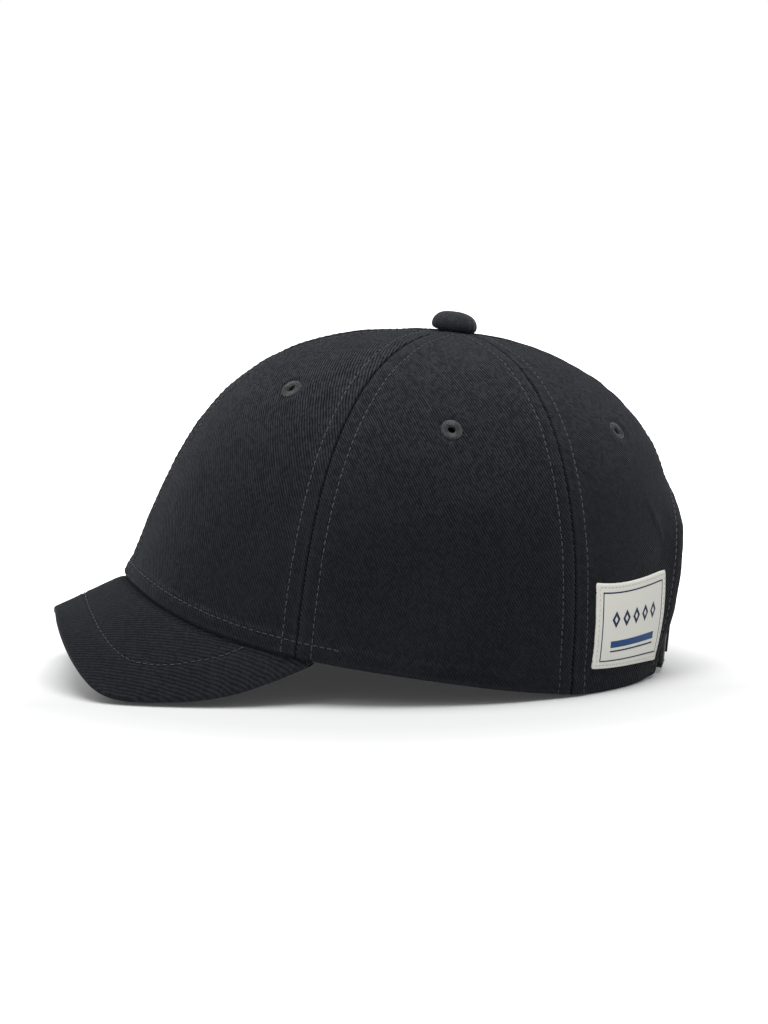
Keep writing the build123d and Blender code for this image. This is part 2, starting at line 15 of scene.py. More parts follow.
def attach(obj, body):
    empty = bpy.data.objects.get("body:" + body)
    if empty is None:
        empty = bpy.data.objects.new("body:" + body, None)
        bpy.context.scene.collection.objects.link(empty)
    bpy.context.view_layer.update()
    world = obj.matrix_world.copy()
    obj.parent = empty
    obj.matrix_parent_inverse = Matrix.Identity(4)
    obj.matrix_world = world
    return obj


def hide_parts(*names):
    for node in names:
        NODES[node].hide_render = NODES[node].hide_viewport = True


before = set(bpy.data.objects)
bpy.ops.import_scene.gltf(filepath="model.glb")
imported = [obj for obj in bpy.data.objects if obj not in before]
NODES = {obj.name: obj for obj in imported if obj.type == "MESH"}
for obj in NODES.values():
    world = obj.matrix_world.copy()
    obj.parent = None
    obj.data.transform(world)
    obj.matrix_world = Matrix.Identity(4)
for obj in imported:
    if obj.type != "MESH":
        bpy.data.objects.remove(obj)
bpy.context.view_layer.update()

MM = 0.001
SCENE = bpy.context.scene

# ------------------------------------------------------------------ driving sizes, mm
TILT = math.radians(5.8174)            # the crown leans back by this
OPEN_Y = 11.14                         # centre of the head opening
APEX_Y, APEX_Z = OPEN_Y + 23.05, 128.4
AXIS_Y = OPEN_Y + 26.7                 # the strap curves round this
RIM_HALF_WIDTH, RIM_HALF_LENGTH, RIM_FORWARD = 84.77, 103.48, 11.902
FABRIC = 1.1
# rear opening: half width, top and foot heights, and the power of its superellipse
ARCH_HALF, ARCH_TOP, ARCH_FOOT, ARCH_POWER = 33.5, 64.5, 2.0, 2.3
SEAM_STITCH = 5.7                      # stitch row to seam
HEM_STITCH = 5.9                       # stitch row to a turned edge
LABEL_WIDTH, LABEL_HEIGHT, LABEL_CORNER = 47.5, 33.0, 0.9


# ------------------------------------------------------------------ numbers and curves
def stack(*parts):
    return np.stack(np.broadcast_arrays(*parts), -1)


def norm(vectors):
    return np.linalg.norm(vectors, axis=-1)


def unit(vectors):
    return vectors / np.maximum(norm(vectors)[..., None], 1e-12)


def run(points):
    """Distance travelled along the first axis, from 0."""
    steps = norm(np.diff(points, axis=0))
    return np.concatenate([0 * steps[:1], np.cumsum(steps, axis=0)])


def run_to_end(points):
    """Distance left along the second axis, down to 0."""
    return run(points[:, ::-1].swapaxes(0, 1)).T[:, ::-1]


def sample(places, along, table):
    """Rows of a table, whose rows stand at `along`, read at other places."""
    return np.stack([np.interp(places, along, column) for column in table.T], -1)


def resample(points, step):
    along = run(points)
    count = max(2, int(round(along[-1] / step)) + 1)
    return sample(np.linspace(0, along[-1], count), along, points)


def smooth(values, count):
    """Running mean over an odd count of values."""
    padded = np.pad(values, count // 2, mode="edge")
    return np.convolve(padded, np.ones(count) / count, "valid")


def ramp(low, high, x):
    part = np.clip((np.asarray(x, float) - low) / (high - low), 0, 1)
    return part * part * (3 - 2 * part)


def bell(x, width, power=2):
    return np.exp(-(np.asarray(x, float) / width) ** power)


def circle(count):
    return np.linspace(0, 2 * math.pi, count, endpoint=False)


def in_frame(axes, x, y, z):
    """Points from coordinates in a frame (origin, x axis, y axis, z axis)."""
    origin, x_axis, y_axis, z_axis = axes
    x, y, z = (np.asarray(part)[..., None] for part in (x, y, z))
    return origin + x_axis * x + y_axis * y + z_axis * z


def nearest(points, targets):
    """Distance to, and index of, the nearest target."""
    flat = points.reshape(-1, points.shape[-1])
    distance, index = np.empty(len(flat)), np.empty(len(flat), int)
    for start in range(0, len(flat), 3000):
        part = slice(start, start + 3000)
        squares = ((flat[part, None] - targets[None]) ** 2).sum(-1)
        index[part] = squares.argmin(1)
        distance[part] = np.sqrt(squares.min(1))
    return distance.reshape(points.shape[:-1]), index.reshape(points.shape[:-1])


table_random = np.random.RandomState(11)
NOISE_ORDER = table_random.permutation(256)
NOISE_VALUE = table_random.rand(256) * 2 - 1


def noise3(points, cell, seed=0):
    """Smooth value noise in -1..1; cell is the cell size in mm."""
    place = np.asarray(points, float) / cell + seed * 17.13
    corner = np.floor(place).astype(int)
    part = place - corner
    part = part * part * (3 - 2 * part)
    total = 0
    for step in np.ndindex(2, 2, 2):
        at = (corner + step) % 256
        pick = NOISE_ORDER[(NOISE_ORDER[at[..., 0]] + at[..., 1]) % 256]
        pick = NOISE_ORDER[(pick + at[..., 2]) % 256]
        total = total + NOISE_VALUE[pick] * np.where(step, part, 1 - part).prod(-1)
    return total


def noise2(across, along, seed, layer=0):
    return noise3(stack(across, along, layer), 1.0, seed)


def round_corners(x, y, width, height, radius):
    """Pulls the corners of a rectangle's grid in along the diagonals."""
    flat_x, flat_y = width / 2 - radius, height / 2 - radius
    over_x = np.maximum(np.abs(x) - flat_x, 0)
    over_y = np.maximum(np.abs(y) - flat_y, 0)
    reach = np.hypot(over_x, over_y)
    pull = np.where(reach > 1e-6, np.maximum(over_x, over_y) / np.maximum(reach, 1e-6), 1.0)
    return (np.sign(x) * (np.minimum(np.abs(x), flat_x) + over_x * pull),
            np.sign(y) * (np.minimum(np.abs(y), flat_y) + over_y * pull))


# ------------------------------------------------------------------ the crown's surface
def harmonics(terms, turn):
    return sum(term * np.cos(i * turn) for i, term in enumerate(terms))


def crown(angle, drop):
    """Outer face: cubic curves from the apex to the rim, fitted round the head."""
    angle, drop = np.broadcast_arrays(np.asarray(angle, float), np.asarray(drop, float))
    turn = np.radians(angle)
    cos, sin = np.cos(turn), np.sin(turn)
    fuller = 1 + 0.0031 * np.sin(2 * turn) ** 2
    left = RIM_HALF_WIDTH * sin * fuller * (1 - 0.0119 * cos)
    forward = RIM_FORWARD + RIM_HALF_LENGTH * cos * fuller
    depth = (110.41 + 10.336 * sin * sin - 0.2759 * cos * sin * sin - 6.7614 * cos
             + 12.382 * sin * sin * cos * cos)
    # handle lengths at the apex and at the rim, and the rim handle's lean
    apex_handle = harmonics((0.7999, 0.0135, -0.1081, 0.1339), turn)
    rim_handle = harmonics((0.4842, 0.0188, 0.1395, -0.2), turn)
    lean = np.radians(harmonics((-1.2365, 13.276, 6.0909), turn))
    rim = np.hypot(left, forward)
    first = 3 * (1 - drop) ** 2 * drop
    second = 3 * (1 - drop) * drop * drop
    last = drop ** 3
    reach = (first * apex_handle * rim
             + second * (rim - rim_handle * depth * np.sin(lean)) + last * rim)
    up = second * (-depth + rim_handle * depth * np.cos(lean)) - last * depth
    x, ahead = reach * left / rim, reach * forward / rim
    return np.stack([x, APEX_Y - ahead * math.cos(TILT) + up * math.sin(TILT),
                     APEX_Z + ahead * math.sin(TILT) + up * math.cos(TILT)], -1)


def crown_normal(angle, drop):
    drop = np.maximum(drop, 0.006)
    around = crown(np.asarray(angle) + 0.15, drop) - crown(np.asarray(angle) - 0.15, drop)
    down = crown(angle, drop + 0.002) - crown(angle, drop - 0.002)
    return unit(np.cross(down, around))


def off_crown(angle, drop, height):
    return crown(angle, drop) + crown_normal(angle, drop) * np.asarray(height, float)[..., None]


def mm_per_degree(angle, drop):
    return norm(crown(np.asarray(angle) + 0.2, drop) - crown(np.asarray(angle) - 0.2, drop)) / 0.4


def seam_angle(i, drop):
    """Angle of seam i: 0 at the front, then over the wearer's left to 3 at the rear and on."""
    drop = np.asarray(drop, float)
    left = (0 * drop, 63.1 + 3.2 * (drop - 0.5) ** 2,
            121.5 + 8.0 * (drop - 0.6) ** 2, 180 + 0 * drop)
    return left[i] if i < 4 else 360 - left[6 - i]


def meridian(angle):
    """Drops at one angle and their distances down the crown."""
    drops = np.linspace(0.0005, 1, 500)
    return drops, run(crown(angle, drops))


def drop_above_rim(angles, height):
    found = []
    for angle in np.atleast_1d(angles):
        drops, down = meridian(angle)
        found.append(np.interp(down[-1] - height, down, drops))
    return np.array(found)


def drop_at_reach(angle, reach, drops=np.linspace(0.001, 0.6, 600)):
    """Drop at a distance in plan from the apex."""
    points = crown(angle, drops)
    return float(np.interp(reach, np.hypot(points[:, 0], points[:, 1] - APEX_Y), drops))


def from_front(angle):
    return np.abs((np.asarray(angle) + 180) % 360 - 180)


# ------------------------------------------------------------------ the rear opening
def arch_outline(count=260, grow=0.0):
    """The outline from the wearer's left foot over the top to the right foot, as (x, z)."""
    turn = np.linspace(0, math.pi, count)
    cos, sin = np.cos(turn), np.sin(turn)
    half, top = ARCH_HALF + grow, ARCH_TOP + grow
    x = half * np.sign(cos) * np.abs(cos) ** (2 / ARCH_POWER)
    z = ARCH_FOOT + (top - ARCH_FOOT) * np.abs(sin) ** (2 / ARCH_POWER)
    leg = np.linspace(-12, ARCH_FOOT, 12)[:-1]
    x = np.concatenate([np.full(11, half), x, np.full(11, -half)])
    outline = stack(x, np.concatenate([leg, z, leg[::-1]]))
    along = run(outline)
    return sample(np.linspace(0, along[-1], count), along, outline)


ARCH = arch_outline()


def arch_distance(points):
    """Distance in XZ to the opening's outline, positive outside it, and the nearest index."""
    distance, index = nearest(points[..., [0, 2]], ARCH)
    up = np.maximum((points[..., 2] - ARCH_FOOT) / (ARCH_TOP - ARCH_FOOT), 0)
    inside = (np.abs(points[..., 0]) / ARCH_HALF) ** ARCH_POWER + up ** ARCH_POWER < 1
    distance[inside] *= -1
    return distance, index


# heights, and how far the opening's edge stands away from the crown there
FLARE_Z = (3, 10, 20, 26, 32, 40, 48, 55, 59, 63, 67, 72)
FLARE = (0, 0.5, 2.2, 3.0, 3.3, 3.9, 4.3, 4.0, 3.1, 2.0, 1.0, 0)


def flare(points, distance):
    """The hemmed edge of the rear opening stands away from the crown."""
    return np.interp(points[..., 2], FLARE_Z, FLARE) * (1 - ramp(0, 15, np.maximum(distance, 0)))


def step_to_xz(angle, drop, x, z, most_turn, most_drop):
    """One Newton step towards the crown's point over (x, z)."""
    here = crown(angle, drop)
    by_angle = (crown(angle + 0.05, drop) - here) / 0.05
    by_drop = (crown(angle, drop + 0.0005) - here) / 0.0005
    off_x, off_z = x - here[..., 0], z - here[..., 2]
    area = by_angle[..., 0] * by_drop[..., 2] - by_drop[..., 0] * by_angle[..., 2]
    sound = np.abs(area) > 1e-3
    area = np.where(sound, area, 1.0)
    turn = (off_x * by_drop[..., 2] - by_drop[..., 0] * off_z) / area
    down = (by_angle[..., 0] * off_z - off_x * by_angle[..., 2]) / area
    return (angle + np.where(sound, np.clip(turn, -most_turn, most_turn), 0),
            drop + np.where(sound, np.clip(down, -most_drop, most_drop), 0))


def rear_wall_at(x, z):
    """(angle, drop) of the rear wall's point over (x, z)."""
    angle, drop = 180 - np.degrees(np.arctan2(x, 72.0)), 0 * x + 0.8
    for _ in range(14):
        angle, drop = step_to_xz(angle, drop, x, z, most_turn=8, most_drop=0.08)
        drop = np.clip(drop, 0.3, 1.0)
    return angle, drop


# ------------------------------------------------------------------ meshes
def add_mesh(name, verts, faces, uv, finish, wear_and_shade=None, body="cap", replaces=None, sharp=50):
    """A smooth mesh; finish is (material, slot) and edges over `sharp` degrees stay sharp."""
    material, slot = finish
    mesh = bpy.data.meshes.new(name)
    mesh.from_pydata((np.asarray(verts, float) * MM).tolist(), [], faces)
    mesh.validate(clean_customdata=False)
    layer = mesh.uv_layers.new(name="grain")
    index = np.empty(len(mesh.loops), int)
    mesh.loops.foreach_get("vertex_index", index)
    layer.data.foreach_set("uv", np.asarray(uv, float)[index].astype(np.float32).ravel())
    # the twill reads this per-point value as a lightness offset: real wear, and painted shade in seam
    # grooves and joints
    if wear_and_shade is not None:
        attribute = mesh.attributes.new("wear_and_shade", "FLOAT", "POINT")
        attribute.data.foreach_set("value", np.asarray(wear_and_shade, np.float32))
    mesh.polygons.foreach_set("use_smooth", [True] * len(mesh.polygons))
    if sharp:
        mesh.set_sharp_from_angle(angle=math.radians(sharp))
    mesh.update()
    made = bpy.data.objects.new(name, mesh)
    SCENE.collection.objects.link(made)
    mesh.materials.append(material)
    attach(made, body)
    if replaces:
        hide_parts(replaces)
    return made


def wrap(ids, axis):
    """Repeats the first row after the last, to close a grid."""
    return np.concatenate([ids, np.take(ids, [0], axis)], axis)


def grid_quads(ids):
    return np.stack([ids[..., :-1, :-1], ids[..., 1:, :-1], ids[..., 1:, 1:], ids[..., :-1, 1:]],
                    -1).reshape(-1, 4).tolist()


def thick_mesh(name, outer, inner, faces, uv, finish, wear_and_shade=None, **options):
    """Faces index the outer points. Drops unused points, adds the inner copy and the walls."""
    used = np.unique(np.concatenate(faces))
    renumber = -np.ones(len(outer), int)
    renumber[used] = np.arange(len(used))
    faces = [[int(renumber[i]) for i in face] for face in faces]
    outer, inner = outer[used], inner[used]
    facing = 0.0
    for face in faces[::max(1, len(faces) // 400)]:
        first, second, third = outer[face[:3]]
        facing += np.sign(np.cross(second - first, third - first) @ (first - inner[face[0]]))
    if facing < 0:
        faces = [face[::-1] for face in faces]
    count = len(outer)
    edges = {}
    for face in faces:
        for start, end in zip(face, face[1:] + face[:1]):
            key = (min(start, end), max(start, end))
            edges[key] = None if key in edges else (start, end)
    walls = [[edge[1], edge[0], edge[0] + count, edge[1] + count]
             for edge in edges.values() if edge is not None]
    back = [[i + count for i in face[::-1]] for face in faces]
    if wear_and_shade is not None:
        wear_and_shade = np.concatenate([wear_and_shade[used], wear_and_shade[used] * 0])
    return add_mesh(name, np.concatenate([outer, inner]), faces + walls + back,
                    np.concatenate([uv[used], uv[used] * [-1, 1]]), finish, wear_and_shade, **options)


def sheet(name, outer, inner, uv, finish, wear_and_shade=None, close=False, **options):
    """A closed sheet between two grids of points; close joins the last row to the first."""
    shape = outer.shape[:2]
    ids = np.arange(shape[0] * shape[1]).reshape(shape)
    if close:
        ids = wrap(ids, 0)
    if wear_and_shade is not None:
        wear_and_shade = np.broadcast_to(wear_and_shade, shape).ravel()
    return thick_mesh(name, outer.reshape(-1, 3), inner.reshape(-1, 3), grid_quads(ids),
                      np.broadcast_to(uv, (*shape, 2)).reshape(-1, 2), finish, wear_and_shade, **options)


TWILL_ANGLE = math.radians(54)


def grain_uv(across, down):
    """Turns (across, down) in mm into (across the ribs, along the ribs)."""
    sin, cos = math.sin(TWILL_ANGLE), math.cos(TWILL_ANGLE)
    return np.stack([across * sin - down * cos, across * cos + down * sin], -1)


class Stitching:
    """Collects stitches, each a short curved length of thread, into one mesh."""

    # places of the rings along half a stitch, and their share of the radius
    ALONG = np.array([-1.0, -0.86, -0.5, 0.0, 0.5, 0.86, 1.0])
    GIRTH = np.array([0.05, 0.62, 0.95, 1.0, 0.95, 0.62, 0.05])
    SIDES = 7
    JITTER = 0.06

    def __init__(self):
        self.verts, self.faces, self.uv, self.count = [], [], [], 0

    def add(self, path, normals, seed, length=2.05, gap=0.65, radius=0.22, lift=0.10, dip=0.22):
        """A row along the path; each stitch stands `lift` off it and dips at its ends."""
        random = np.random.RandomState(seed + self.count)
        table, along = np.concatenate([path, normals], 1), run(path)
        count = max(1, int(along[-1] / (length + gap)))
        pitch = along[-1] / count
        ring = circle(self.SIDES)
        for k in range(count):
            middle = (k + 0.5) * pitch + random.uniform(-1, 1) * self.JITTER
            half = length / 2 * (1 + random.uniform(-1, 1) * self.JITTER)
            places = middle + self.ALONG * half
            read = sample(places, along, table)
            core, out = read[:, :3], unit(read[:, 3:])
            side = unit(np.cross(out, unit(np.gradient(core, axis=0) + 1e-9)))
            core = core + side * (random.uniform(-1, 1) * self.JITTER * 0.8)
            core = core + out * (lift - dip * np.abs(self.ALONG) ** 2.2)[:, None]
            round_core = (side[:, None, :] * np.cos(ring)[None, :, None]
                          + out[:, None, :] * (np.sin(ring) * 0.85)[None, :, None])
            verts = core[:, None, :] + round_core * (self.GIRTH * radius)[:, None, None]
            self.verts.append(verts.reshape(-1, 3))
            self.uv.append(stack((places - middle + k * 7.0)[:, None],
                                 ring / (2 * math.pi)).reshape(-1, 2))
            ids = np.arange(len(self.ALONG) * self.SIDES).reshape(-1, self.SIDES)
            ids = ids + self.count * ids.size
            self.faces += grid_quads(wrap(ids, 1))
            self.faces += [ids[0].tolist(), ids[-1, ::-1].tolist()]
            self.count += 1

    def build(self, name, finish, body="cap"):
        add_mesh(name, np.concatenate(self.verts), self.faces, np.concatenate(self.uv), finish,
                 body=body, sharp=0)


# ------------------------------------------------------------------ shader building
class Field:
    """A socket that takes part in arithmetic; each step adds a Math node."""

    def __init__(self, shader, socket):
        self.shader, self.socket = shader, socket

    def math(self, operation, *values):
        return self.shader.math(operation, self, *values)

    def __add__(self, other):
        return self.math("ADD", other)

    def __mul__(self, other):
        return self.math("MULTIPLY", other)

    def __truediv__(self, size):
        return self * (1 / size)

    def __sub__(self, other):
        return self.math("SUBTRACT", other)

    def __rsub__(self, other):
        return self.shader.math("SUBTRACT", other, self)

    def __abs__(self):
        return self.math("ABSOLUTE")

    def __lt__(self, other):
        return self.math("LESS_THAN", other)

    def swing(self, amount):
        """A 0..1 field as a swing about zero."""
        return (self + -0.5) * amount

    def wave(self):
        """0..1 cosine of a field in turns."""
        return (self * (2 * math.pi)).math("COSINE").math("MULTIPLY_ADD", 0.5, 0.5)

    def limit(self, top):
        return self.math("MINIMUM", top).math("MAXIMUM", 0.0)

    def remap(self, source, target):
        values = dict(enumerate((self, *source, *target)))
        return self.shader.node("MapRange", values, clamp=True)


class Shader:
    def __init__(self, name, slot=None):
        self.material, self.slot = bpy.data.materials.new(name), slot
        self.material.use_nodes = True
        self.tree = self.material.node_tree
        self.tree.nodes.clear()
        output = self.tree.nodes.new("ShaderNodeOutputMaterial")
        self.principled = self.tree.nodes.new("ShaderNodeBsdfPrincipled")
        self.tree.links.new(self.principled.outputs[0], output.inputs[0])

    def fill(self, node, values):
        for key, value in values.items():
            if isinstance(value, Field):
                self.tree.links.new(value.socket, node.inputs[key])
            else:
                node.inputs[key].default_value = value

    def node(self, kind, values=None, output=0, **properties):
        node = self.tree.nodes.new("ShaderNode" + kind)
        for key, value in properties.items():
            setattr(node, key, value)
        self.fill(node, values or {})
        return Field(self, node.outputs[output])

    def math(self, operation, *values):
        return self.node("Math", dict(enumerate(values)), operation=operation)

    def place(self):
        return self.node("TexCoord", output="Object")

    def uvmap(self):
        return self.node("UVMap", uv_map="grain")

    def split(self, vector):
        outputs = self.node("SeparateXYZ", {0: vector}).socket.node.outputs
        return [Field(self, socket) for socket in outputs]

    def join(self, x, y, z):
        return self.node("CombineXYZ", {0: x, 1: y, 2: z})

    def noise(self, vector, scale, detail=2.0, roughness=0.5):
        return self.node("TexNoise", {"Scale": scale, "Detail": detail, "Roughness": roughness,
                                      "Vector": vector}, noise_dimensions="3D")

    def mix(self, factor, low, high, clamp=True):
        return self.node("Mix", {0: factor, 6: low, 7: high}, output=2, data_type="RGBA",
                         clamp_factor=clamp)

    def bump(self, height, depth, strength, **normal):
        return self.node("Bump", {"Strength": strength, "Distance": depth, "Height": height,
                                  **normal})

    def surface(self, color, roughness, specular, metallic=0.0, sheen=0.0, sheen_roughness=0.5,
                sheen_tint=(1, 1, 1, 1), **normal):
        """Sets the surface and returns the finish, (material, slot)."""
        self.fill(self.principled, {
            "Base Color": color, "Roughness": roughness, "Metallic": metallic,
            "Specular IOR Level": specular, "Sheen Weight": sheen,
            "Sheen Roughness": sheen_roughness, "Sheen Tint": sheen_tint, **normal})
        return self.material, self.slot


# ------------------------------------------------------------------ materials
NOISE_SPAN = (0.3, 0.7)                # where most of a noise texture's values lie


def twill(name, dark, light, pitch=1.0, thread=0.62, depth=0.00030, contrast=1.45, fuzz=1.0,
          sheen=0.06, painted_top_light=2.2):
    """Diagonal-ribbed cotton. UV x runs across the ribs and y along them, in mm."""
    shade = Shader(name, "black_twill")
    across, along, _ = shade.split(shade.uvmap())
    place = shade.place()
    rib_phase = across / pitch + shade.noise(shade.uvmap(), scale=0.22).swing(0.9)
    rib = rib_phase.wave()
    rib_number = (rib_phase + 0.5).math("FLOOR")
    yarn_phase = along / thread + rib_number * 0.37
    yarn = yarn_phase.wave()
    # each float of yarn takes its own shade
    cell = shade.join(rib_number, (yarn_phase * 0.5).math("FLOOR"), 0.0)
    own = shade.node("TexWhiteNoise", {"Vector": cell}, noise_dimensions="2D")
    fine = shade.noise(shade.uvmap(), scale=2.6, detail=3.0, roughness=0.65)
    patches = shade.noise(place, scale=26.0, detail=3.0, roughness=0.55)
    broad = shade.noise(place, scale=9.0, detail=1.0)
    # relief: ribs, the yarns that cross them, then fuzz
    height = rib * 0.72 + rib * yarn * 0.28 + fine * (0.30 * fuzz)
    # lightness: ribs, yarns, three sizes of mottling, then the per-point wear_and_shade value: real
    # lighter wear, and painted shade in grooves and joints
    tone = (rib.math("POWER", 1.3) * (0.55 * contrast) + own.swing(0.30 * contrast)
            + fine.swing(0.9) + patches.swing(0.55) + broad.swing(0.45)
            + shade.node("Attribute", output="Fac", attribute_name="wear_and_shade") * 0.55)
    # painted light: rib tops are painted lighter where the cloth faces up, standing in for light from
    # above
    normal = shade.split(shade.node("NewGeometry", output="Normal"))
    faces_up = normal[2].remap((0.25, 0.90), (0.0, 1.0))
    tone = tone + faces_up * ((rib + own * 0.6 + -0.40) * painted_top_light)
    color = shade.mix((tone + 0.37).limit(3.1), dark, light, clamp=False)
    return shade.surface(color, fine.remap(NOISE_SPAN, (0.86, 0.98)), specular=0.07, sheen=sheen,
                         sheen_roughness=0.32, sheen_tint=(0.80, 0.83, 0.88, 1),
                         Normal=shade.bump(height, depth, strength=0.85))


def plain_weave(name, slot, dark, light, pitch, depth=0.00014, specular=0.2, sheen=0.15):
    """One-over-one weave, its yarns `pitch` mm apart."""
    shade = Shader(name, slot)
    across, along, _ = shade.split(shade.uvmap())
    across, along = across / pitch, along / pitch
    odd = abs(across.math("FLOOR") + along.math("FLOOR")).math("MODULO", 2.0)
    warp = abs((across * math.pi).math("SINE"))
    weft = abs((along * math.pi).math("SINE"))
    height = warp * (weft * 0.5 + 0.5) * odd + weft * (warp * 0.5 + 0.5) * (1.0 - odd)
    fine = shade.noise(shade.uvmap(), scale=2.2, detail=3.0, roughness=0.6)
    broad = shade.noise(shade.place(), scale=40.0)
    # lightness: the weave, fine fuzz, broad mottling
    tone = height * 0.5 + (fine.swing(0.9) + broad * 0.45)
    return shade.surface(shade.mix(tone.limit(1.0), dark, light),
                         fine.remap(NOISE_SPAN, (0.8, 0.95)), specular=specular, sheen=sheen,
                         Normal=shade.bump(height + fine * 0.3, depth, strength=0.8))


def thread(name, slot, dark, light, roughness=0.55, low=1.0, depth=0.00008):
    """Twisted thread, darkened to `low` towards the bottom of the cap."""
    shade = Shader(name, slot)
    along, around, _ = shade.split(shade.uvmap())
    twist = (along * 1.45 + around * 2.0).wave()
    fine = shade.noise(shade.place(), scale=900.0)
    height = shade.split(shade.place())[2]
    tone = (twist * 0.55 + fine * 0.5) * height.remap((0.030, 0.095), (low, 1.0))
    return shade.surface(shade.mix(tone, dark, light),
                         fine.remap(NOISE_SPAN, (roughness - 0.08, roughness + 0.12)),
                         specular=0.35, sheen=0.3, sheen_roughness=0.35,
                         Normal=shade.bump(twist + fine * 0.6, depth, strength=0.8))


def moulded(name, slot, dark, light, roughness, grain, depth, specular=0.45):
    """Grained plastic with flow marks and scuffs."""
    shade = Shader(name, slot)
    place = shade.place()
    pebble = shade.node("TexVoronoi", {"Scale": grain, "Vector": place}, feature="SMOOTH_F1")
    fine = shade.noise(place, scale=grain * 0.6, detail=3.0)
    flow = shade.noise(place, scale=22.0, detail=3.0, roughness=0.6)
    scuff = shade.noise(place, scale=160.0, detail=5.0, roughness=0.75)
    scuff = scuff.remap((0.62, 0.78), (0.0, 1.0))
    rough = flow.remap(NOISE_SPAN, (roughness - 0.07, roughness + 0.07)) + scuff * 0.12
    return shade.surface(shade.mix(flow * 0.6 + scuff * 0.5, dark, light), rough,
                         specular=specular,
                         Normal=shade.bump(pebble * 0.6 + fine * 0.4, depth, strength=0.7))


def metal(name, slot, base, worn, roughness):
    """Brushed metal, rubbed bright on its edges."""
    shade = Shader(name, slot)
    place = shade.place()
    rounded = shade.node("Bevel", {"Radius": 0.00022}, samples=4)
    x, y, z = shade.split(place)
    # brushing: far finer in z than in x and y
    brushed = shade.noise(shade.join(x * 900.0, y * 900.0, z * 9000.0), scale=1.0, detail=3.0,
                          roughness=0.6)
    blotch = shade.noise(place, scale=320.0, detail=4.0, roughness=0.6)
    flat = shade.node("VectorMath",
                      {0: rounded, 1: shade.node("NewGeometry", output="Normal")},
                      output="Value", operation="DOT_PRODUCT")
    rubbed = flat.remap((0.90, 0.999), (0.75, 0.0))
    tone = (rubbed + blotch.remap((0.45, 0.75), (0.0, 1.0)) * 0.35).math("MINIMUM", 1.0)
    rough = brushed.remap(NOISE_SPAN, (roughness - 0.08, roughness + 0.10)) + blotch * 0.08
    return shade.surface(shade.mix(tone, base, worn), rough, specular=0.5, metallic=1.0,
                         Normal=shade.bump(brushed + blotch * 0.5, depth=0.00002, strength=0.5,
                                           Normal=rounded))


def woven_label():
    """Cream ground, a navy frame and five lozenges, and two bars. UV is mm from its middle."""
    frame_in, frame_half = 3.4, 0.28               # the frame line from the edge, half its width
    pick_pitch, warp_pitch = 0.34, 0.42
    lozenge_pitch, lozenge_y, row_half = 6.4, 3.2, 15.9
    bar_half = 15.2                                # half the bars' length
    wide_y, wide_half, thin_y, thin_half = 6.4, 1.35, 9.2, 0.32
    shade = Shader("woven_label", "woven_label")
    x, y, _ = shade.split(shade.uvmap())
    across, along = abs(x), abs(y)
    pick = (y / pick_pitch).wave()
    warp = (x / warp_pitch + (y / pick_pitch).math("FLOOR") * 0.5).wave()
    weave = pick * 0.6 + warp * 0.4
    fine = shade.noise(shade.uvmap(), scale=3.0)
    ground = shade.mix(weave * 0.5 + fine * 0.5, (0.44, 0.435, 0.395, 1), (0.67, 0.665, 0.615, 1))
    inward = (LABEL_WIDTH / 2 - frame_in - across).math(
        "MINIMUM", LABEL_HEIGHT / 2 - frame_in - along)
    line = abs(inward) < frame_half
    cell = (x / lozenge_pitch + 0.5).math("FRACT") - 0.5
    cell_x, cell_y = abs(cell) * lozenge_pitch, abs(y + lozenge_y)

    def lozenge(size):
        return cell_x * 1.0 + cell_y * 0.72 < size

    def bar(middle, half):
        return (abs(y + -middle) < half) * (across < bar_half)

    lozenges = (lozenge(2.35) - lozenge(0.95)) * (across < row_half)
    wide, thin = bar(wide_y, wide_half), bar(thin_y, thin_half)
    navy = shade.mix(weave, (0.006, 0.010, 0.034, 1), (0.014, 0.022, 0.062, 1))
    blue = shade.mix(weave, (0.006, 0.032, 0.105, 1), (0.016, 0.064, 0.180, 1))
    color = shade.mix((lozenges + line + thin).math("MINIMUM", 1.0), ground, navy)
    raised = (lozenges + line + wide + thin).math("MINIMUM", 1.0)
    return shade.surface(shade.mix(wide, color, blue), fine.remap(NOISE_SPAN, (0.5, 0.7)),
                         specular=0.12, sheen=0.05,
                         Normal=shade.bump(weave + raised * 1.6, depth=0.00010, strength=0.8))


TWILL = twill("cap_twill", (0.0021, 0.0023, 0.0031, 1), (0.0112, 0.0117, 0.0142, 1))
FINE_TWILL = twill("peak_twill", (0.0020, 0.0021, 0.0029, 1), (0.0116, 0.0121, 0.0143, 1),
                   pitch=0.98, thread=0.5, depth=0.00022, contrast=1.35, fuzz=2.0, sheen=0.08,
                   painted_top_light=0.1)
BUTTON_TWILL = twill("button_twill", (0.0050, 0.0053, 0.0066, 1), (0.0235, 0.0245, 0.0285, 1),
                     pitch=0.8, thread=0.5, depth=0.00016, contrast=1.0, sheen=0.14, painted_top_light=0.5)
THREAD = thread("topstitch_thread", "grey_thread",
                (0.010, 0.0104, 0.012, 1), (0.050, 0.0515, 0.056, 1), low=0.45)
DARK_THREAD = thread("tack_thread", "grey_thread",
                     (0.0025, 0.0026, 0.003, 1), (0.014, 0.0145, 0.017, 1))
EYELET_THREAD = thread("eyelet_thread", "grey_thread",
                       (0.004, 0.0042, 0.005, 1), (0.052, 0.0535, 0.058, 1), depth=0.00022)
TAPE = plain_weave("seam_tape_weave", "binding_tape",
                   (0.006, 0.0063, 0.0075, 1), (0.024, 0.025, 0.029, 1), pitch=0.8)
SWEAT_COTTON = plain_weave("sweatband_brushed_cotton", "sweatband_cotton",
                           (0.005, 0.0052, 0.006, 1), (0.020, 0.0205, 0.023, 1),
                           pitch=0.6, depth=0.0001, specular=0.15, sheen=0.35)
LABEL = woven_label()
CREAM_THREAD = thread("label_thread", "woven_label", (0.16, 0.145, 0.11, 1), (0.46, 0.43, 0.35, 1))
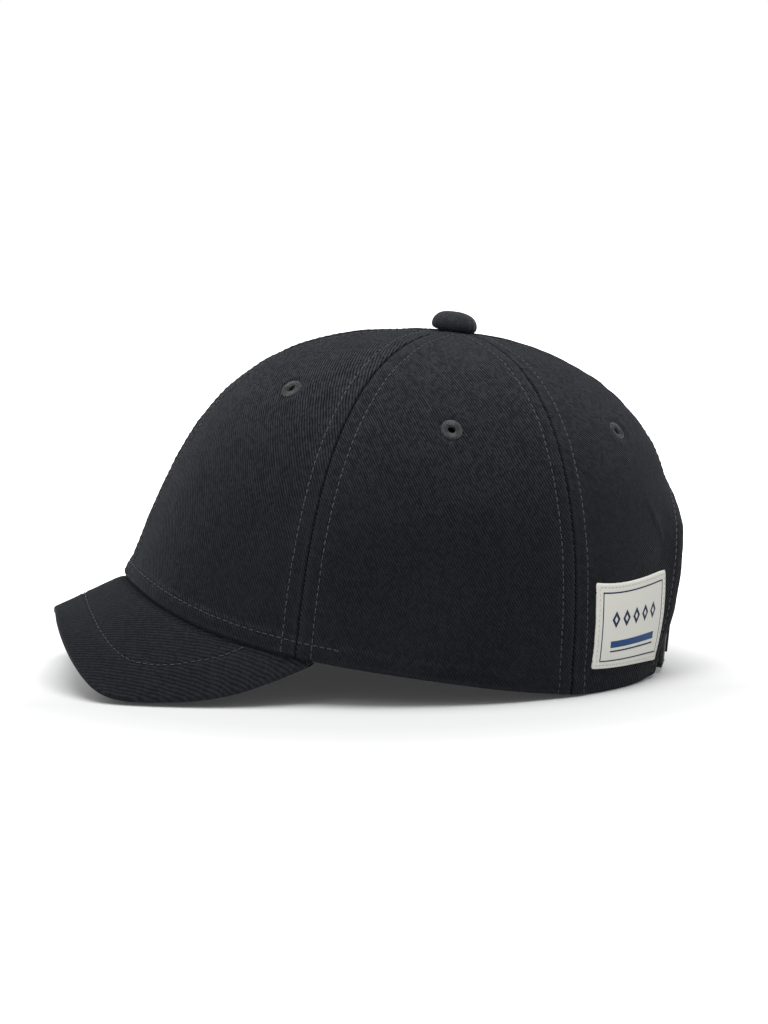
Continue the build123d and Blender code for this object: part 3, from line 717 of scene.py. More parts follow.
PAD_CLOTH = plain_weave("pad_tricot", "insert_foam",
                        (0.011, 0.0115, 0.013, 1), (0.040, 0.042, 0.047, 1),
                        pitch=0.9, depth=0.00012, sheen=0.45)
PILE = plain_weave("loop_pile_ground", "loop_pile",
                   (0.010, 0.0105, 0.012, 1), (0.036, 0.038, 0.042, 1),
                   pitch=0.5, depth=0.0001, sheen=0.6)
PILE_THREAD = thread("loop_pile_thread", "loop_pile",
                     (0.014, 0.0145, 0.017, 1), (0.052, 0.054, 0.060, 1), roughness=0.6)
HOOK = moulded("hook_nylon", "hook_tape", (0.010, 0.0105, 0.012, 1), (0.035, 0.037, 0.042, 1),
               roughness=0.35, grain=1500.0, depth=0.00002, specular=0.5)
BUCKLE_METAL = metal("blackened_brass", "buckle_metal",
                     (0.022, 0.022, 0.024, 1), (0.11, 0.102, 0.088, 1), roughness=0.36)
RIVET_METAL = metal("button_rivet_steel", "rivet_metal",
                    (0.16, 0.16, 0.165, 1), (0.42, 0.42, 0.43, 1), roughness=0.34)
SHELL_PLASTIC = moulded("insert_shell_abs", "insert_abs",
                        (0.012, 0.0125, 0.014, 1), (0.030, 0.031, 0.034, 1),
                        roughness=0.42, grain=1100.0, depth=0.00004)
BOARD_PLASTIC = moulded("peak_board_plastic", "peak_board_plastic",
                        (0.30, 0.30, 0.29, 1), (0.42, 0.42, 0.40, 1),
                        roughness=0.5, grain=900.0, depth=0.00003)

# ------------------------------------------------------------------ crown panels
PANELS = ("front_panel_left", "side_panel_left", "rear_panel_left",
          "rear_panel_right", "side_panel_right", "front_panel_right")
# (angle, drop) of the eyelet in each panel
LEFT_EYELETS = ((37.8, 0.446), (90.9, 0.406), (150.3, 0.450))
EYELETS = LEFT_EYELETS + tuple((360 - angle, drop) for angle, drop in LEFT_EYELETS[::-1])
EYELET_HOLE = 2.7                      # radius
SEAM_GAP = 0.10                        # each side of a seam
FINE_BAND = 8                          # width of the close-set columns beside a seam
ARCH_SNAP = 0.527                      # points this near the opening move onto its outline
FAR = 99.0                             # stands for "no such edge nearby"


def panel_relief(points, from_left, from_right, down, seed):
    """How far the cloth stands off the crown, and its wear with painted shade in the seam grooves,
    from seams and unevenness.
    """
    height, wear_and_shade = np.zeros(down.shape), np.zeros(down.shape)
    x, y, z = (points[..., k] for k in range(3))
    for k, edge in enumerate((from_left, from_right)):
        height -= 0.46 * bell(edge, 0.28, 1.4)
        # doubled cloth beside the seam, then the sunk stitch row
        height += (0.24 * (1 - ramp(SEAM_STITCH + 0.1, SEAM_STITCH + 1.7, edge))
                   * ramp(0.0, 0.55, edge))
        beat = 0.5 + 0.5 * np.cos(2 * math.pi * down / 3.3 + seed + k)
        height -= (0.26 + 0.16 * beat) * bell(edge - SEAM_STITCH, 0.62)
        pucker = noise2(down / 3.4, edge / 9, seed, layer=seed + k)
        height += 0.20 * pucker * bell(edge - 3.0, 3.2)
        broad = noise2(down / 6.5, edge / 12, seed, layer=seed + 5 + k)
        height += 0.16 * broad * bell(edge - 7.0, 5.0)
        # lighter worn cloth beside the seam and by the stitch row; the last, negative term is painted
        # shade in the seam's groove
        wear_and_shade += (0.55 * bell(edge - 1.3, 0.8) + 0.22 * bell(edge - SEAM_STITCH - 1.2, 0.8)
                 - 0.5 * bell(edge, 0.6))
    # the shape of the whole crown, then cloth unevenness at three sizes
    height += (-0.40 * ramp(52, 86, z) + 0.95 * bell(z - 82, 20) * ramp(60, 92, y)
               + 0.30 * noise3(points, 34.0, seed) + 0.20 * noise3(points, 15.0, seed + 1)
               + 0.06 * noise3(points, 6.0, seed + 2))
    around = np.arctan2(x, OPEN_Y - y) * 90
    height += 0.55 * noise2(around / 24, z / 75, 40) * (1 - ramp(60, 95, z))
    # two small overlapping puckers on the wearer's left, above the rear hem
    for middle in (crown(151.5, 0.665), crown(153.5, 0.70)):
        height += (0.55 * bell(x - middle[0], 1.1) * bell(z - middle[2], 5.0)
                   * (x > 0) * (y > 60))
    return height, wear_and_shade


def hem_relief(above_rim, angle):
    """The lower edge: cloth turned up, and sewn along the peak."""
    along_peak = 1 - ramp(70, 76, from_front(angle))
    height = -0.55 * bell(above_rim, 0.6, 1.7)
    height += 0.62 * (1 - ramp(6.0, 8.0, above_rim)) * ramp(0, 0.8, above_rim)
    height -= 0.34 * bell(above_rim - HEM_STITCH, 0.62) * along_peak
    around = np.radians(angle) * 90
    height += (0.16 * noise2(around / 5.0, above_rim / 10, 4, layer=3)
               * bell(above_rim - 3, 4.5))
    # second value: a lighter worn band on the fold, minus painted shade along the very bottom edge
    # under the turned hem
    return height, 0.75 * bell(above_rim - 1.3, 0.6) - 1.3 * bell(above_rim, 0.55)


def opening_relief(points, distance):
    """The hem of the rear opening; nothing where distance is FAR."""
    height = (flare(points, distance)
              + 0.35 * (1 - ramp(6.0, 7.4, distance)) * ramp(0, 1.2, distance)
              - 0.80 * bell(np.maximum(distance, 0), 0.8, 1.7))
    height -= 0.34 * bell(distance - HEM_STITCH, 0.6)
    height += 0.22 * noise3(points, 5.0, 9) * bell(distance - 3, 4)
    return height, 0.6 * bell(distance - 0.9, 0.7)


def panel_columns(width, fine, coarse):
    """Places across a panel, 0 to 1, closer together beside the seams."""
    half = width / 2
    places = np.concatenate([np.arange(0, FINE_BAND + 0.01, fine),
                             np.arange(FINE_BAND + coarse, half, coarse)]) / half
    places = places[places < 0.995]
    return np.concatenate([places, [1.0], 2 - places[::-1]]) / 2


def panel_grid(i, fine, coarse):
    """(angle, drop) grids of panel i, columns first. Rows close up over the last 9 mm."""
    middle = float((seam_angle(i, 0.6) + seam_angle(i + 1, 0.6)) / 2)
    top = drop_at_reach(middle, 3.0)
    drops, down = meridian(middle)
    total = down[-1] - np.interp(top, drops, down)
    above = np.concatenate([np.arange(0, 9.01, 0.6 if fine < 0.65 else fine),
                            np.arange(9.01 + coarse, total - 0.3, coarse), [total]])[::-1]
    drop = np.interp(down[-1] - above, down, drops)
    drop[0], drop[-1] = top, 1.0
    rim_angles = np.linspace(seam_angle(i, 1.0), seam_angle(i + 1, 1.0), 60)
    across = panel_columns(run(crown(rim_angles, 1.0))[-1], fine, coarse)
    drop = np.repeat(drop[None, :], len(across), 0)
    start, end = seam_angle(i, drop), seam_angle(i + 1, drop)
    width = run(crown(start + (end - start) * across[:, None], drop))[-1]
    gap = SEAM_GAP / np.maximum(width, 2.0)
    across = gap[None, :] + (1 - 2 * gap[None, :]) * across[:, None]
    return start + (end - start) * across, drop


def snap_to_arch(angle, drop):
    """Moves grid points close to the opening's outline onto it; returns which moved too."""
    distance, index = arch_distance(crown(angle, drop))
    near = np.abs(distance) < ARCH_SNAP
    moved_angle, moved_drop = angle[near], drop[near]
    x, z = ARCH[index[near]].T
    for _ in range(5):
        moved_angle, moved_drop = step_to_xz(moved_angle, moved_drop, x, z,
                                             most_turn=3, most_drop=0.03)
    angle, drop = angle.copy(), drop.copy()
    angle[near], drop[near] = moved_angle, np.clip(moved_drop, 0, 1.02)
    return angle, drop, near


def build_panel(i, name):
    """Builds one panel and returns its crown points and the cloth's height over them."""
    rear = name.startswith("rear")
    fine, coarse = (0.7, 0.85) if rear else (0.6, 1.05)
    angle, drop = panel_grid(i, fine, coarse)
    points = crown(angle, drop)
    from_left, above_rim = run(points), run_to_end(points)
    from_right = from_left[-1:] - from_left
    to_arch = np.full(angle.shape, FAR)
    if rear:
        angle, drop, snapped = snap_to_arch(angle, drop)
        points = crown(angle, drop)
        to_arch = arch_distance(points)[0]
        to_arch[snapped] = 0.0
    down = above_rim[:, :1] - above_rim
    height, wear_and_shade = panel_relief(points, from_left, from_right, down, i * 3 + 1)
    for more, more_wear_and_shade in (hem_relief(above_rim, angle), opening_relief(points, to_arch)):
        height, wear_and_shade = height + more, wear_and_shade + more_wear_and_shade
    # cloth pulled in round the eyelet
    eyelet = crown(*EYELETS[i])
    from_eyelet = norm(points - eyelet)
    height = height - 0.35 * bell(from_eyelet - 4.0, 1.3) + 0.25 * bell(from_eyelet - 6.0, 2.2)
    normals = crown_normal(angle, drop)
    near_apex = 1 - ramp(4.0, 12.0, np.hypot(points[..., 0], points[..., 1] - APEX_Y))
    height = height * (1 - near_apex) - 0.2 * near_apex
    outer = points + normals * height[..., None]
    inside = np.minimum(height, 0.2) * 0.5 + flare(points, to_arch) - FABRIC
    inner = points + normals * inside[..., None]
    centres = (points[:-1, :-1] + points[1:, :-1] + points[1:, 1:] + points[:-1, 1:]) / 4
    hole = norm(centres - eyelet) < EYELET_HOLE
    outside = (to_arch > -1e-6).ravel()
    faces = []
    for quad, in_hole in zip(grid_quads(np.arange(angle.size).reshape(angle.shape)), hole.ravel()):
        kept = [corner for corner in quad if outside[corner]]
        if len(kept) > 2 and not in_hole:
            faces.append(kept)
    uv = grain_uv(from_left - from_left[-1:] / 2, down)
    thick_mesh(name + "_cloth", outer.reshape(-1, 3), inner.reshape(-1, 3), faces,
               uv.reshape(-1, 2), TWILL, wear_and_shade.ravel(), replaces=name, sharp=60)
    covered = to_arch > -0.5
    return points[covered], height[covered]


built = [build_panel(i, name) for i, name in enumerate(PANELS)]
CLOTH_POINTS, CLOTH_HEIGHTS = (np.concatenate(part) for part in zip(*built))
CLOTH_TREE = KDTree(len(CLOTH_POINTS))
for k, point in enumerate(CLOTH_POINTS):
    CLOTH_TREE.insert(point, k)
CLOTH_TREE.balance()


def cloth_height(points):
    """How far the cloth's outer face stands off the crown, near each point in a row."""
    heights = np.empty(len(points))
    for k, point in enumerate(points):
        found = CLOTH_TREE.find_n(Vector(point), 4)
        weights = np.array([1 / (distance ** 2 + 0.02) for _, _, distance in found])
        near = CLOTH_HEIGHTS[[index for _, index, _ in found]]
        heights[k] = (weights * near).sum() / weights.sum()
    return smooth(heights, 5)


def on_cloth(angle, drop, lift=0.10):
    """A row of points on the panels' outer face, and their normals."""
    points, normals = crown(angle, drop), crown_normal(angle, drop)
    return points + normals * (cloth_height(points) + lift)[:, None], normals


# ------------------------------------------------------------------ stitching on the crown
def stitch_seam(i):
    rows = Stitching()
    for side in (-1, 1):
        start = drop_at_reach(float(seam_angle(i, 0.1)) + side * 12, 11.6)
        drop = np.linspace(start, 0.997, 400)
        seam = seam_angle(i, drop)
        angle = seam + side * SEAM_STITCH / mm_per_degree(seam, drop)
        for _ in range(3):
            angle = seam + side * SEAM_STITCH / mm_per_degree((angle + seam) / 2, drop)
        if i == 3:
            # the rear seam stops at the opening
            outside = arch_distance(crown(angle, drop))[0] > 1.2
            angle, drop = angle[outside], drop[outside]
        rows.add(*on_cloth(angle, drop), radius=0.20, seed=i * 2 + side + 1)
    rows.build(f"topstitch_seam_{i}", THREAD)


def stitch_hem():
    """The row along the peak, ending in two tacks on each side."""
    rows, tacks = Stitching(), Stitching()
    angle = np.linspace(-71.5, 71.5, 900)
    rows.add(*on_cloth(angle, drop_above_rim(angle, HEM_STITCH)), length=2.1, radius=0.21,
             seed=71)
    for side in (-1, 1):
        drop = drop_above_rim(71.2 * side, HEM_STITCH)
        points, normals = on_cloth(np.linspace(71.2, 73.0, 8) * side, drop, lift=0.16)
        for k in range(2):
            tacks.add(points + np.array([0, 0, (k - 0.5) * 0.40]), normals, length=2.3, gap=0.2,
                      radius=0.2, seed=80 + k)
    rows.build("topstitch_hem", THREAD)
    tacks.build("hem_tacks", DARK_THREAD)


def stitch_opening():
    x, z = arch_outline(700, grow=HEM_STITCH).T
    row = Stitching()
    row.add(*on_cloth(*rear_wall_at(x[z > 1.5], z[z > 1.5])), seed=91)
    row.build("topstitch_rear_opening", THREAD)


for i in range(6):
    stitch_seam(i)
stitch_hem()
stitch_opening()


# ------------------------------------------------------------------ embroidered eyelets
def build_eyelet(k, angle, drop):
    """A ring of satin stitches, each with a rounded ridge."""
    stitches, steps, sides = 46, 7, 18
    middle_radius, half_width, half_height = 2.72, 1.26, 0.96
    normal = crown_normal(angle, drop)
    down = unit(crown(angle, drop + 0.01) - crown(angle, drop - 0.01))
    down = unit(down - normal * (down @ normal))
    axes = (off_crown(angle, drop, -FABRIC / 2 - 0.25), down, np.cross(normal, down), normal)
    random = np.random.RandomState(40 + k)
    around = circle(stitches * steps)[:, None]
    number, step = np.divmod(np.arange(stitches * steps), steps)
    phase = step / steps
    ridge = (np.abs(np.sin(math.pi * phase)) ** 0.7)[:, None]
    wider = random.uniform(-0.14, 0.16, stitches)[number][:, None]
    taller = random.uniform(-0.05, 0.06, stitches)[number][:, None]
    cos, sin = np.cos(circle(sides)), np.sin(circle(sides))
    # section: a flat-topped ring, fuller on the inside
    radius = (middle_radius
              + (half_width + wider * (cos > 0)) * (np.sign(cos) * np.abs(cos) ** 0.8))
    height = (half_height + 0.26 * ridge + taller) * (np.sign(sin) * np.abs(sin) ** 0.75)
    height = height * (1.0 - 0.10 * (radius - 1.5) / 2.8)
    radius = radius + 0.10 * ridge * cos
    verts = in_frame(axes, radius * np.cos(around), radius * np.sin(around), height)
    ids = np.arange(radius.size).reshape(radius.shape)
    add_mesh(f"vent_eyelet_{k + 1}", verts.reshape(-1, 3), grid_quads(wrap(wrap(ids, 0), 1)),
             stack(radius, (number + phase)[:, None]).reshape(-1, 2), EYELET_THREAD,
             replaces="vent_eyelets", sharp=0)


for k, (angle, drop) in enumerate(EYELETS):
    build_eyelet(k, angle, drop)

# ------------------------------------------------------------------ crown button and backing
BUTTON_LEAN = math.radians(8.5)
BUTTON_UP = np.array([0, math.sin(BUTTON_LEAN), math.cos(BUTTON_LEAN)])
BUTTON_X = np.array([1.0, 0, 0])
BUTTON_FRAME = (crown(0.0, 0.0005), BUTTON_X, np.cross(BUTTON_UP, BUTTON_X), BUTTON_UP)
# radius, height above the crown, from the top's middle to under the edge
BUTTON_PROFILE = np.array([
    (0.01, 7.22), (0.9, 7.21), (1.8, 7.17), (2.8, 7.08), (3.8, 6.92), (4.8, 6.68), (5.7, 6.34),
    (6.5, 5.88), (7.2, 5.28), (7.75, 4.6), (8.18, 3.85), (8.45, 3.1), (8.58, 2.35), (8.56, 1.6),
    (8.38, 0.95), (8.0, 0.38), (7.3, -0.02), (6.2, -0.12), (4.5, -0.10)])


def build_button():
    radius, height = BUTTON_PROFILE.T[:, None, :]
    around = circle(132)[:, None]
    cos, sin = np.cos(around), np.sin(around)
    pleated = ramp(5.6, 8.3, radius) * (height < 5.6)
    pleats = (0.06 * np.sin(around * 15 + 1.2 * np.sin(around * 2)) * pleated
              + 0.05 * np.sin(around * 23 + 0.7) * pleated)
    wide = radius + pleats
    high = height + 0.10 * np.sin(around * 3 + 0.5) * ramp(1, 6, radius)
    outer = in_frame(BUTTON_FRAME, wide * cos, wide * sin, high)
    outer = outer + noise3(outer, 4.5, 5)[..., None] * 0.09 * BUTTON_UP
    inner = in_frame(BUTTON_FRAME, wide * 0.90 * cos, wide * 0.90 * sin, 0.4 + (high - 0.4) * 0.90)
    along = run(BUTTON_PROFILE)[None, :]
    sheet("crown_button_cloth", outer, inner, grain_uv(along * cos, along * sin), BUTTON_TWILL,
          wear_and_shade=0.25 * ramp(5, 8, radius) + 0.15, close=True, replaces="crown_button", sharp=0)


def build_button_backing():
    """A cloth disc inside the crown, sagging towards its edge."""
    radius = np.array([2.2, 4, 6, 8, 9.6, 10.4, 10.8])
    around = circle(72)[:, None]
    height = (-1.80 - 0.55 * ((radius - 2) / 9) ** 1.2
              + 0.05 * np.sin(around * 5) * (radius / 11))
    x, y = radius * np.cos(around), radius * np.sin(around)
    top = in_frame(BUTTON_FRAME, x, y, height)
    sheet("button_backing_disc", top - BUTTON_UP * 0.28, top, stack(x, y), TAPE, close=True,
          replaces="button_backing", sharp=40)


build_button()
build_button_backing()

# ------------------------------------------------------------------ peak
PEAK_SLOPE = math.radians(23.9)
PEAK_OUT = np.array([0.0, -math.cos(PEAK_SLOPE), -math.sin(PEAK_SLOPE)])
PEAK_END = 67.0                        # angle of the peak's ends at the rim
PEAK_IN = 1.1                          # the peak starts this far inside the rim
PEAK_TOP, PEAK_BOTTOM = 0.15, 3.60     # depths of the faces below the peak's top plane
PEAK_ROLL = 1.55                       # radius of the rolled outer edge
COVER_T = 0.62                         # thickness of each cover
RIM_RADIUS = 92                        # mm per radian along the peak's edge
# angle, distance out from the rim: the outer edge from just right of the middle to the left end
PEAK_EDGE = np.array([
    (-10, 31.4), (0, 29.9), (10, 31.4), (18.5, 34.1), (25, 36.9), (32.3, 40.6), (38.4, 43.9),
    (43.1, 46.3), (47.0, 47.4), (50.3, 47.0), (53.7, 44.9), (57.7, 41.0), (61.1, 37.3),
    (64.1, 32.0), (66.0, 25.8), (67.1, 17.5), (67.7, 8.4), (67.8, 3.0)])
# the same columns: the stitch row from the left end to the middle
PEAK_STITCH = np.array([
    (54.2, -3.0), (52.9, 1.0), (52.66, 8.5), (51.8, 12.5), (50.36, 16.3), (48.57, 21.4),
    (45.7, 25.3), (41.83, 27.6), (37.41, 27.5), (32.02, 25.5), (24.36, 22.3), (17.95, 19.9),
    (9.0, 17.6), (0.0, 16.6)])


def flattened(table):
    """(angle, distance out) as mm in a plane."""
    return stack(np.radians(table[:, 0]) * RIM_RADIUS, table[:, 1])


def smooth_peak_edge(count=400):
    """A smooth curve through PEAK_EDGE from the middle to the left end, evenly spaced."""
    along = run(flattened(PEAK_EDGE))
    along -= along[1]
    slope = np.gradient(PEAK_EDGE, along, axis=0)
    place = np.linspace(0, along[-1], 1200)
    k = np.clip(np.searchsorted(along, place) - 1, 0, len(along) - 2)
    span = (along[k + 1] - along[k])[:, None]
    t = (place - along[k])[:, None] / span
    curve = ((2 * t ** 3 - 3 * t ** 2 + 1) * PEAK_EDGE[k]
             + (t ** 3 - 2 * t ** 2 + t) * span * slope[k]
             + (-2 * t ** 3 + 3 * t ** 2) * PEAK_EDGE[k + 1] + (t ** 3 - t ** 2) * span * slope[k + 1])
    along = run(flattened(curve))
    return sample(np.linspace(0, along[-1], count), along, curve)


def peak_normal(angle):
    normal = unit(np.cross(crown(angle + 0.3, 1.0) - crown(angle - 0.3, 1.0), PEAK_OUT))
    return normal * np.where(normal[..., 2:3] > 0, 1, -1)


def peak_point(angle, out, depth):
    return (crown(angle, 1.0) + PEAK_OUT * np.asarray(out)[..., None]
            - peak_normal(angle) * np.asarray(depth)[..., None])


def peak_grid(along, out):
    """(angle, distance out). along: -1 right end, 1 left end; out: 0 at the crown, 1 outside."""
    part = np.abs(along)
    edge = smooth_peak_edge()
    edge = sample(part, np.linspace(0, 1, len(edge)), edge)
    start = PEAK_END * part
    return (np.where(along >= 0, 1.0, -1.0) * (start + (edge[..., 0] - start) * out),
            -PEAK_IN + (edge[..., 1] + PEAK_IN) * out)


def peak_stitch_line():
    """(angles, distances out) of the single row of stitching, left to right."""
    both = np.concatenate([PEAK_STITCH, (PEAK_STITCH * [-1, 1])[::-1][1:]])
    across, out = (smooth(column, 9) for column in resample(flattened(both), 0.5).T)
    beyond = out > 0.6
    return np.degrees(across / RIM_RADIUS)[beyond], out[beyond]


def build_peak():
    along = np.linspace(-1, 1, 341)[:, None]
    rows = np.concatenate([np.linspace(0, 0.10, 7), np.linspace(0.10, 0.90, 38)[1:],
                           np.linspace(0.90, 1.0, 12)[1:]])[None, :]
    angle, out = peak_grid(along, rows)
    plane = peak_point(angle, out, 0)
    to_edge = run_to_end(plane)
    from_crown = to_edge[:, :1] - to_edge
    line_angle, line_out = peak_stitch_line()
    to_line = nearest(plane, peak_point(line_angle, line_out, 0))[0]
    half = (PEAK_BOTTOM - PEAK_TOP) / 2
    turned = np.clip((PEAK_ROLL - to_edge) / PEAK_ROLL, 0, 1)
    roll = (1 - np.sqrt(np.maximum(0, 1 - turned ** 2))) * half
    x, y = plane[..., 0], -plane[..., 1] / math.cos(PEAK_SLOPE)
    uv = np.stack([x * 0.88 + y * 0.47, y * 0.88 - x * 0.47], -1)
    # lighter worn edge and stitch line, real wear; the last, negative term is painted shade along the
    # joint under the crown's hem
    wear_and_shade = (0.8 * bell(to_edge - 0.4, 0.9) + 0.15 * bell(to_line - 1.6, 1.0)
            - 2.2 * bell(from_crown - 1.3, 1.35))
    for layer, seed in (("top", 21), ("under", 22)):
        uneven = noise3(plane, 20.0, seed) * 0.16 + noise3(plane, 7.0, 23) * 0.06
        ripple = 0.14 * noise2(along * 150 / 4.2, to_edge / 9, 6) * bell(to_edge - 4.5, 3.5)
        relief = uneven * ramp(0, 2.5, to_edge) + ripple
        # the stitch row sinks and swells the cloth beside it
        relief -= 0.36 * bell(to_line, 0.62)
        relief += 0.10 * bell(to_line - 1.6, 0.9)
        if layer == "top":
            relief -= 1.35 * bell(np.maximum(from_crown - 1.3, 0), 1.5, 1.6)
            depth, longer = PEAK_TOP + roll - relief, 0.12
            inside = np.minimum(PEAK_TOP + COVER_T + roll * 0.62, PEAK_TOP + half + 0.02)
        else:
            depth, longer = PEAK_BOTTOM - roll + relief, -0.10
            inside = np.maximum(PEAK_BOTTOM - COVER_T - roll * 0.62, PEAK_TOP + half + 0.08)
        sheet(f"peak_{layer}_cloth", peak_point(angle, out + longer * (rows > 0.999), depth),
              peak_point(angle, np.where(to_edge < 0.8, out - 0.8 + to_edge, out), inside),
              uv, FINE_TWILL, wear_and_shade, replaces=f"peak_{layer}_cover", sharp=70)
    row = Stitching()
    normals = peak_normal(line_angle)
    for depth, side, seed in ((PEAK_TOP, 1, 120), (PEAK_BOTTOM, -1, 121)):
        row.add(peak_point(line_angle, line_out, depth) - side * normals * 0.06, side * normals,
                length=2.0, gap=0.6, radius=0.21, seed=seed)
    row.build("peak_stitching", THREAD)


build_peak()

# ------------------------------------------------------------------ sweatband
SWEAT_END = 149.0                      # angle of its ends
SWEAT_TOP, SWEAT_BOTTOM = 32.0, 0.6    # heights above the rim


def sweat_offset(angle):
    """How far inside the crown's outer face the band lies; more towards the rear."""
    return FABRIC + 0.85 + 3.15 * ramp(84.0, 112.0, from_front(angle))


def build_sweatband():
    angle = np.linspace(-SWEAT_END, SWEAT_END, 421)
    top, bottom = drop_above_rim(angle, SWEAT_TOP), drop_above_rim(angle, SWEAT_BOTTOM)
    rows = np.concatenate([np.linspace(0, 0.08, 5), np.linspace(0.08, 0.92, 20)[1:],
                           np.linspace(0.92, 1.0, 5)[1:]])[None, :]
    drop = bottom[:, None] + (top - bottom)[:, None] * rows
    along = run(crown(angle, bottom))[:, None]
    height = SWEAT_TOP - SWEAT_BOTTOM
    up = rows * height
    edge = np.minimum(up, height - up)
    puff = 0.16 * noise2(along / 9, up / 14, 31) + 0.10 * np.sin(along / 3.1) * bell(edge - 3.0, 1.6)
    bulge = 0.22 * ramp(0, 6, edge) - 0.20 * bell(edge - 2.6, 0.6)
    rounding = bell(edge, 0.5, 1.5)
    back = sweat_offset(angle)[:, None]
    outer = off_crown(angle[:, None], drop, -(back + 0.05 + 0.35 * rounding))
    inner = off_crown(angle[:, None], drop, -(back + 1.30 + puff + bulge - 0.45 * rounding))
    # keep it clear of the floor
    lift = np.maximum(0.25 - np.minimum(outer[..., 2], inner[..., 2]), 0)
    outer[..., 2] += lift
    inner[..., 2] += lift
    sheet("sweatband_cloth", inner, outer, stack(along, up), SWEAT_COTTON,
          wear_and_shade=0.3 * bell(edge - 1.0, 0.8), replaces="sweatband", sharp=70)
    rows = Stitching()
    for up, seed in ((2.6, 132), (28.8, 158)):
        drop = drop_above_rim(angle, up + SWEAT_BOTTOM)
        points = off_crown(angle, drop, -(sweat_offset(angle) + 1.24))
        points[:, 2] = np.maximum(points[:, 2], 0.6)
        rows.add(points, -crown_normal(angle, drop), length=2.8, gap=0.8, lift=0.06, seed=seed)
    rows.build("sweatband_stitching", THREAD)


build_sweatband()

# ------------------------------------------------------------------ seam tapes
TAPE_HALF = 6.0
TAPE_START = 14.0                      # distance in plan from the apex
TAPE_COLUMNS = np.array([-1, -0.97, -0.88, -0.72, -0.5, -0.25, 0,
                         0.25, 0.5, 0.72, 0.88, 0.97, 1.0])


def build_tape(i, place, end):
    """Tape inside seam i, down to the drop `end`."""
    drop = np.linspace(drop_at_reach(float(seam_angle(i, 0.1)), TAPE_START), end, 130)
    seam = seam_angle(i, drop)
    across = TAPE_COLUMNS[None, :]
    scale = mm_per_degree(seam, drop)
    angle = seam[:, None] + across * (TAPE_HALF / scale)[:, None]
    down = run(crown(seam, drop))[:, None]
    hump = 0.42 * bell(across * TAPE_HALF, 2.2) + 0.10 * noise2(down / 6, across * 2, 50 + i)
    edge = 0.18 * (np.abs(across) > 0.95)
    name = f"seam_tape_{place}_weave"
    sheet(name, off_crown(angle, drop[:, None], -(FABRIC + 0.55 + hump - edge * 0.6)),
          off_crown(angle, drop[:, None], -(FABRIC + 0.12 + hump * 0.6 + edge)),
          stack(across * TAPE_HALF, down), TAPE, wear_and_shade=0, replaces=f"seam_tape_{place}", sharp=60)
    rows = Stitching()
    for side in (-1, 1):
        angle = seam + side * 4.9 / scale
        rows.add(off_crown(angle, drop, -(FABRIC + 0.62)), -crown_normal(angle, drop),
                 length=2.7, gap=0.8, radius=0.2, lift=0.06, seed=150 + i)
    rows.build(name + "_stitching", THREAD)


rear_drops = np.linspace(0.3, 1, 400)
above_opening = float(np.interp(-(ARCH_TOP + 8.6), -crown(180.0, rear_drops)[:, 2], rear_drops))
for i, place, end in ((0, "front", 0.985), (1, "front_left", 0.985), (2, "rear_left", 0.975),
                      (4, "rear_right", 0.975), (5, "front_right", 0.985),
                      (3, "rear", above_opening)):
    build_tape(i, place, end)


# ------------------------------------------------------------------ binding in the rear opening
def build_binding():
    """Tape inside the opening's hem, over the part above 26 mm."""
    rows = np.array([0.35, 0.9, 1.8, 3.2, 4.6, 5.8, 6.5, 6.9])
    columns = []
    for grow in rows:
        outline = resample(arch_outline(500, grow=grow), 1.0)
        columns.append(sample(np.linspace(0, 1, 231), np.linspace(0, 1, len(outline)), outline))
    grid = np.stack(columns, 1)
    grid = grid[(grid[:, 0, 1] > 26.0) & (grid[:, -1, 1] > 26.0)]
    angle, drop = rear_wall_at(grid[..., 0], grid[..., 1])
    points, normals = crown(angle, drop), crown_normal(angle, drop)
    hem = flare(points, rows[None, :]) - FABRIC
    rounding = bell(np.minimum(rows - rows[0], rows[-1] - rows), 0.4, 1)
    sheet("rear_opening_binding_weave",
          points + normals * (hem - 0.62 + 0.25 * rounding)[..., None],
          points + normals * (hem - 0.10 - 0.1 * rounding)[..., None],
          stack(rows[None, :], np.arange(len(grid))[:, None] * 0.9), TAPE, wear_and_shade=0,
          replaces="rear_opening_binding", sharp=60)


build_binding()

# ------------------------------------------------------------------ label
# upper two corners, then lower two
LABEL_ANGLES = (127.2, 153.2, 127.3, 152.7)
LABEL_DROPS = (0.694, 0.790, 0.910, 0.966)


def label_spot(x, y):
    """(angle, drop) of a point of the label, mm from its middle."""
    across, down = x / LABEL_WIDTH + 0.5, y / LABEL_HEIGHT + 0.5
    return [(a * (1 - across) + b * across) * (1 - down) + (c * (1 - across) + d * across) * down
            for a, b, c, d in (LABEL_ANGLES, LABEL_DROPS)]


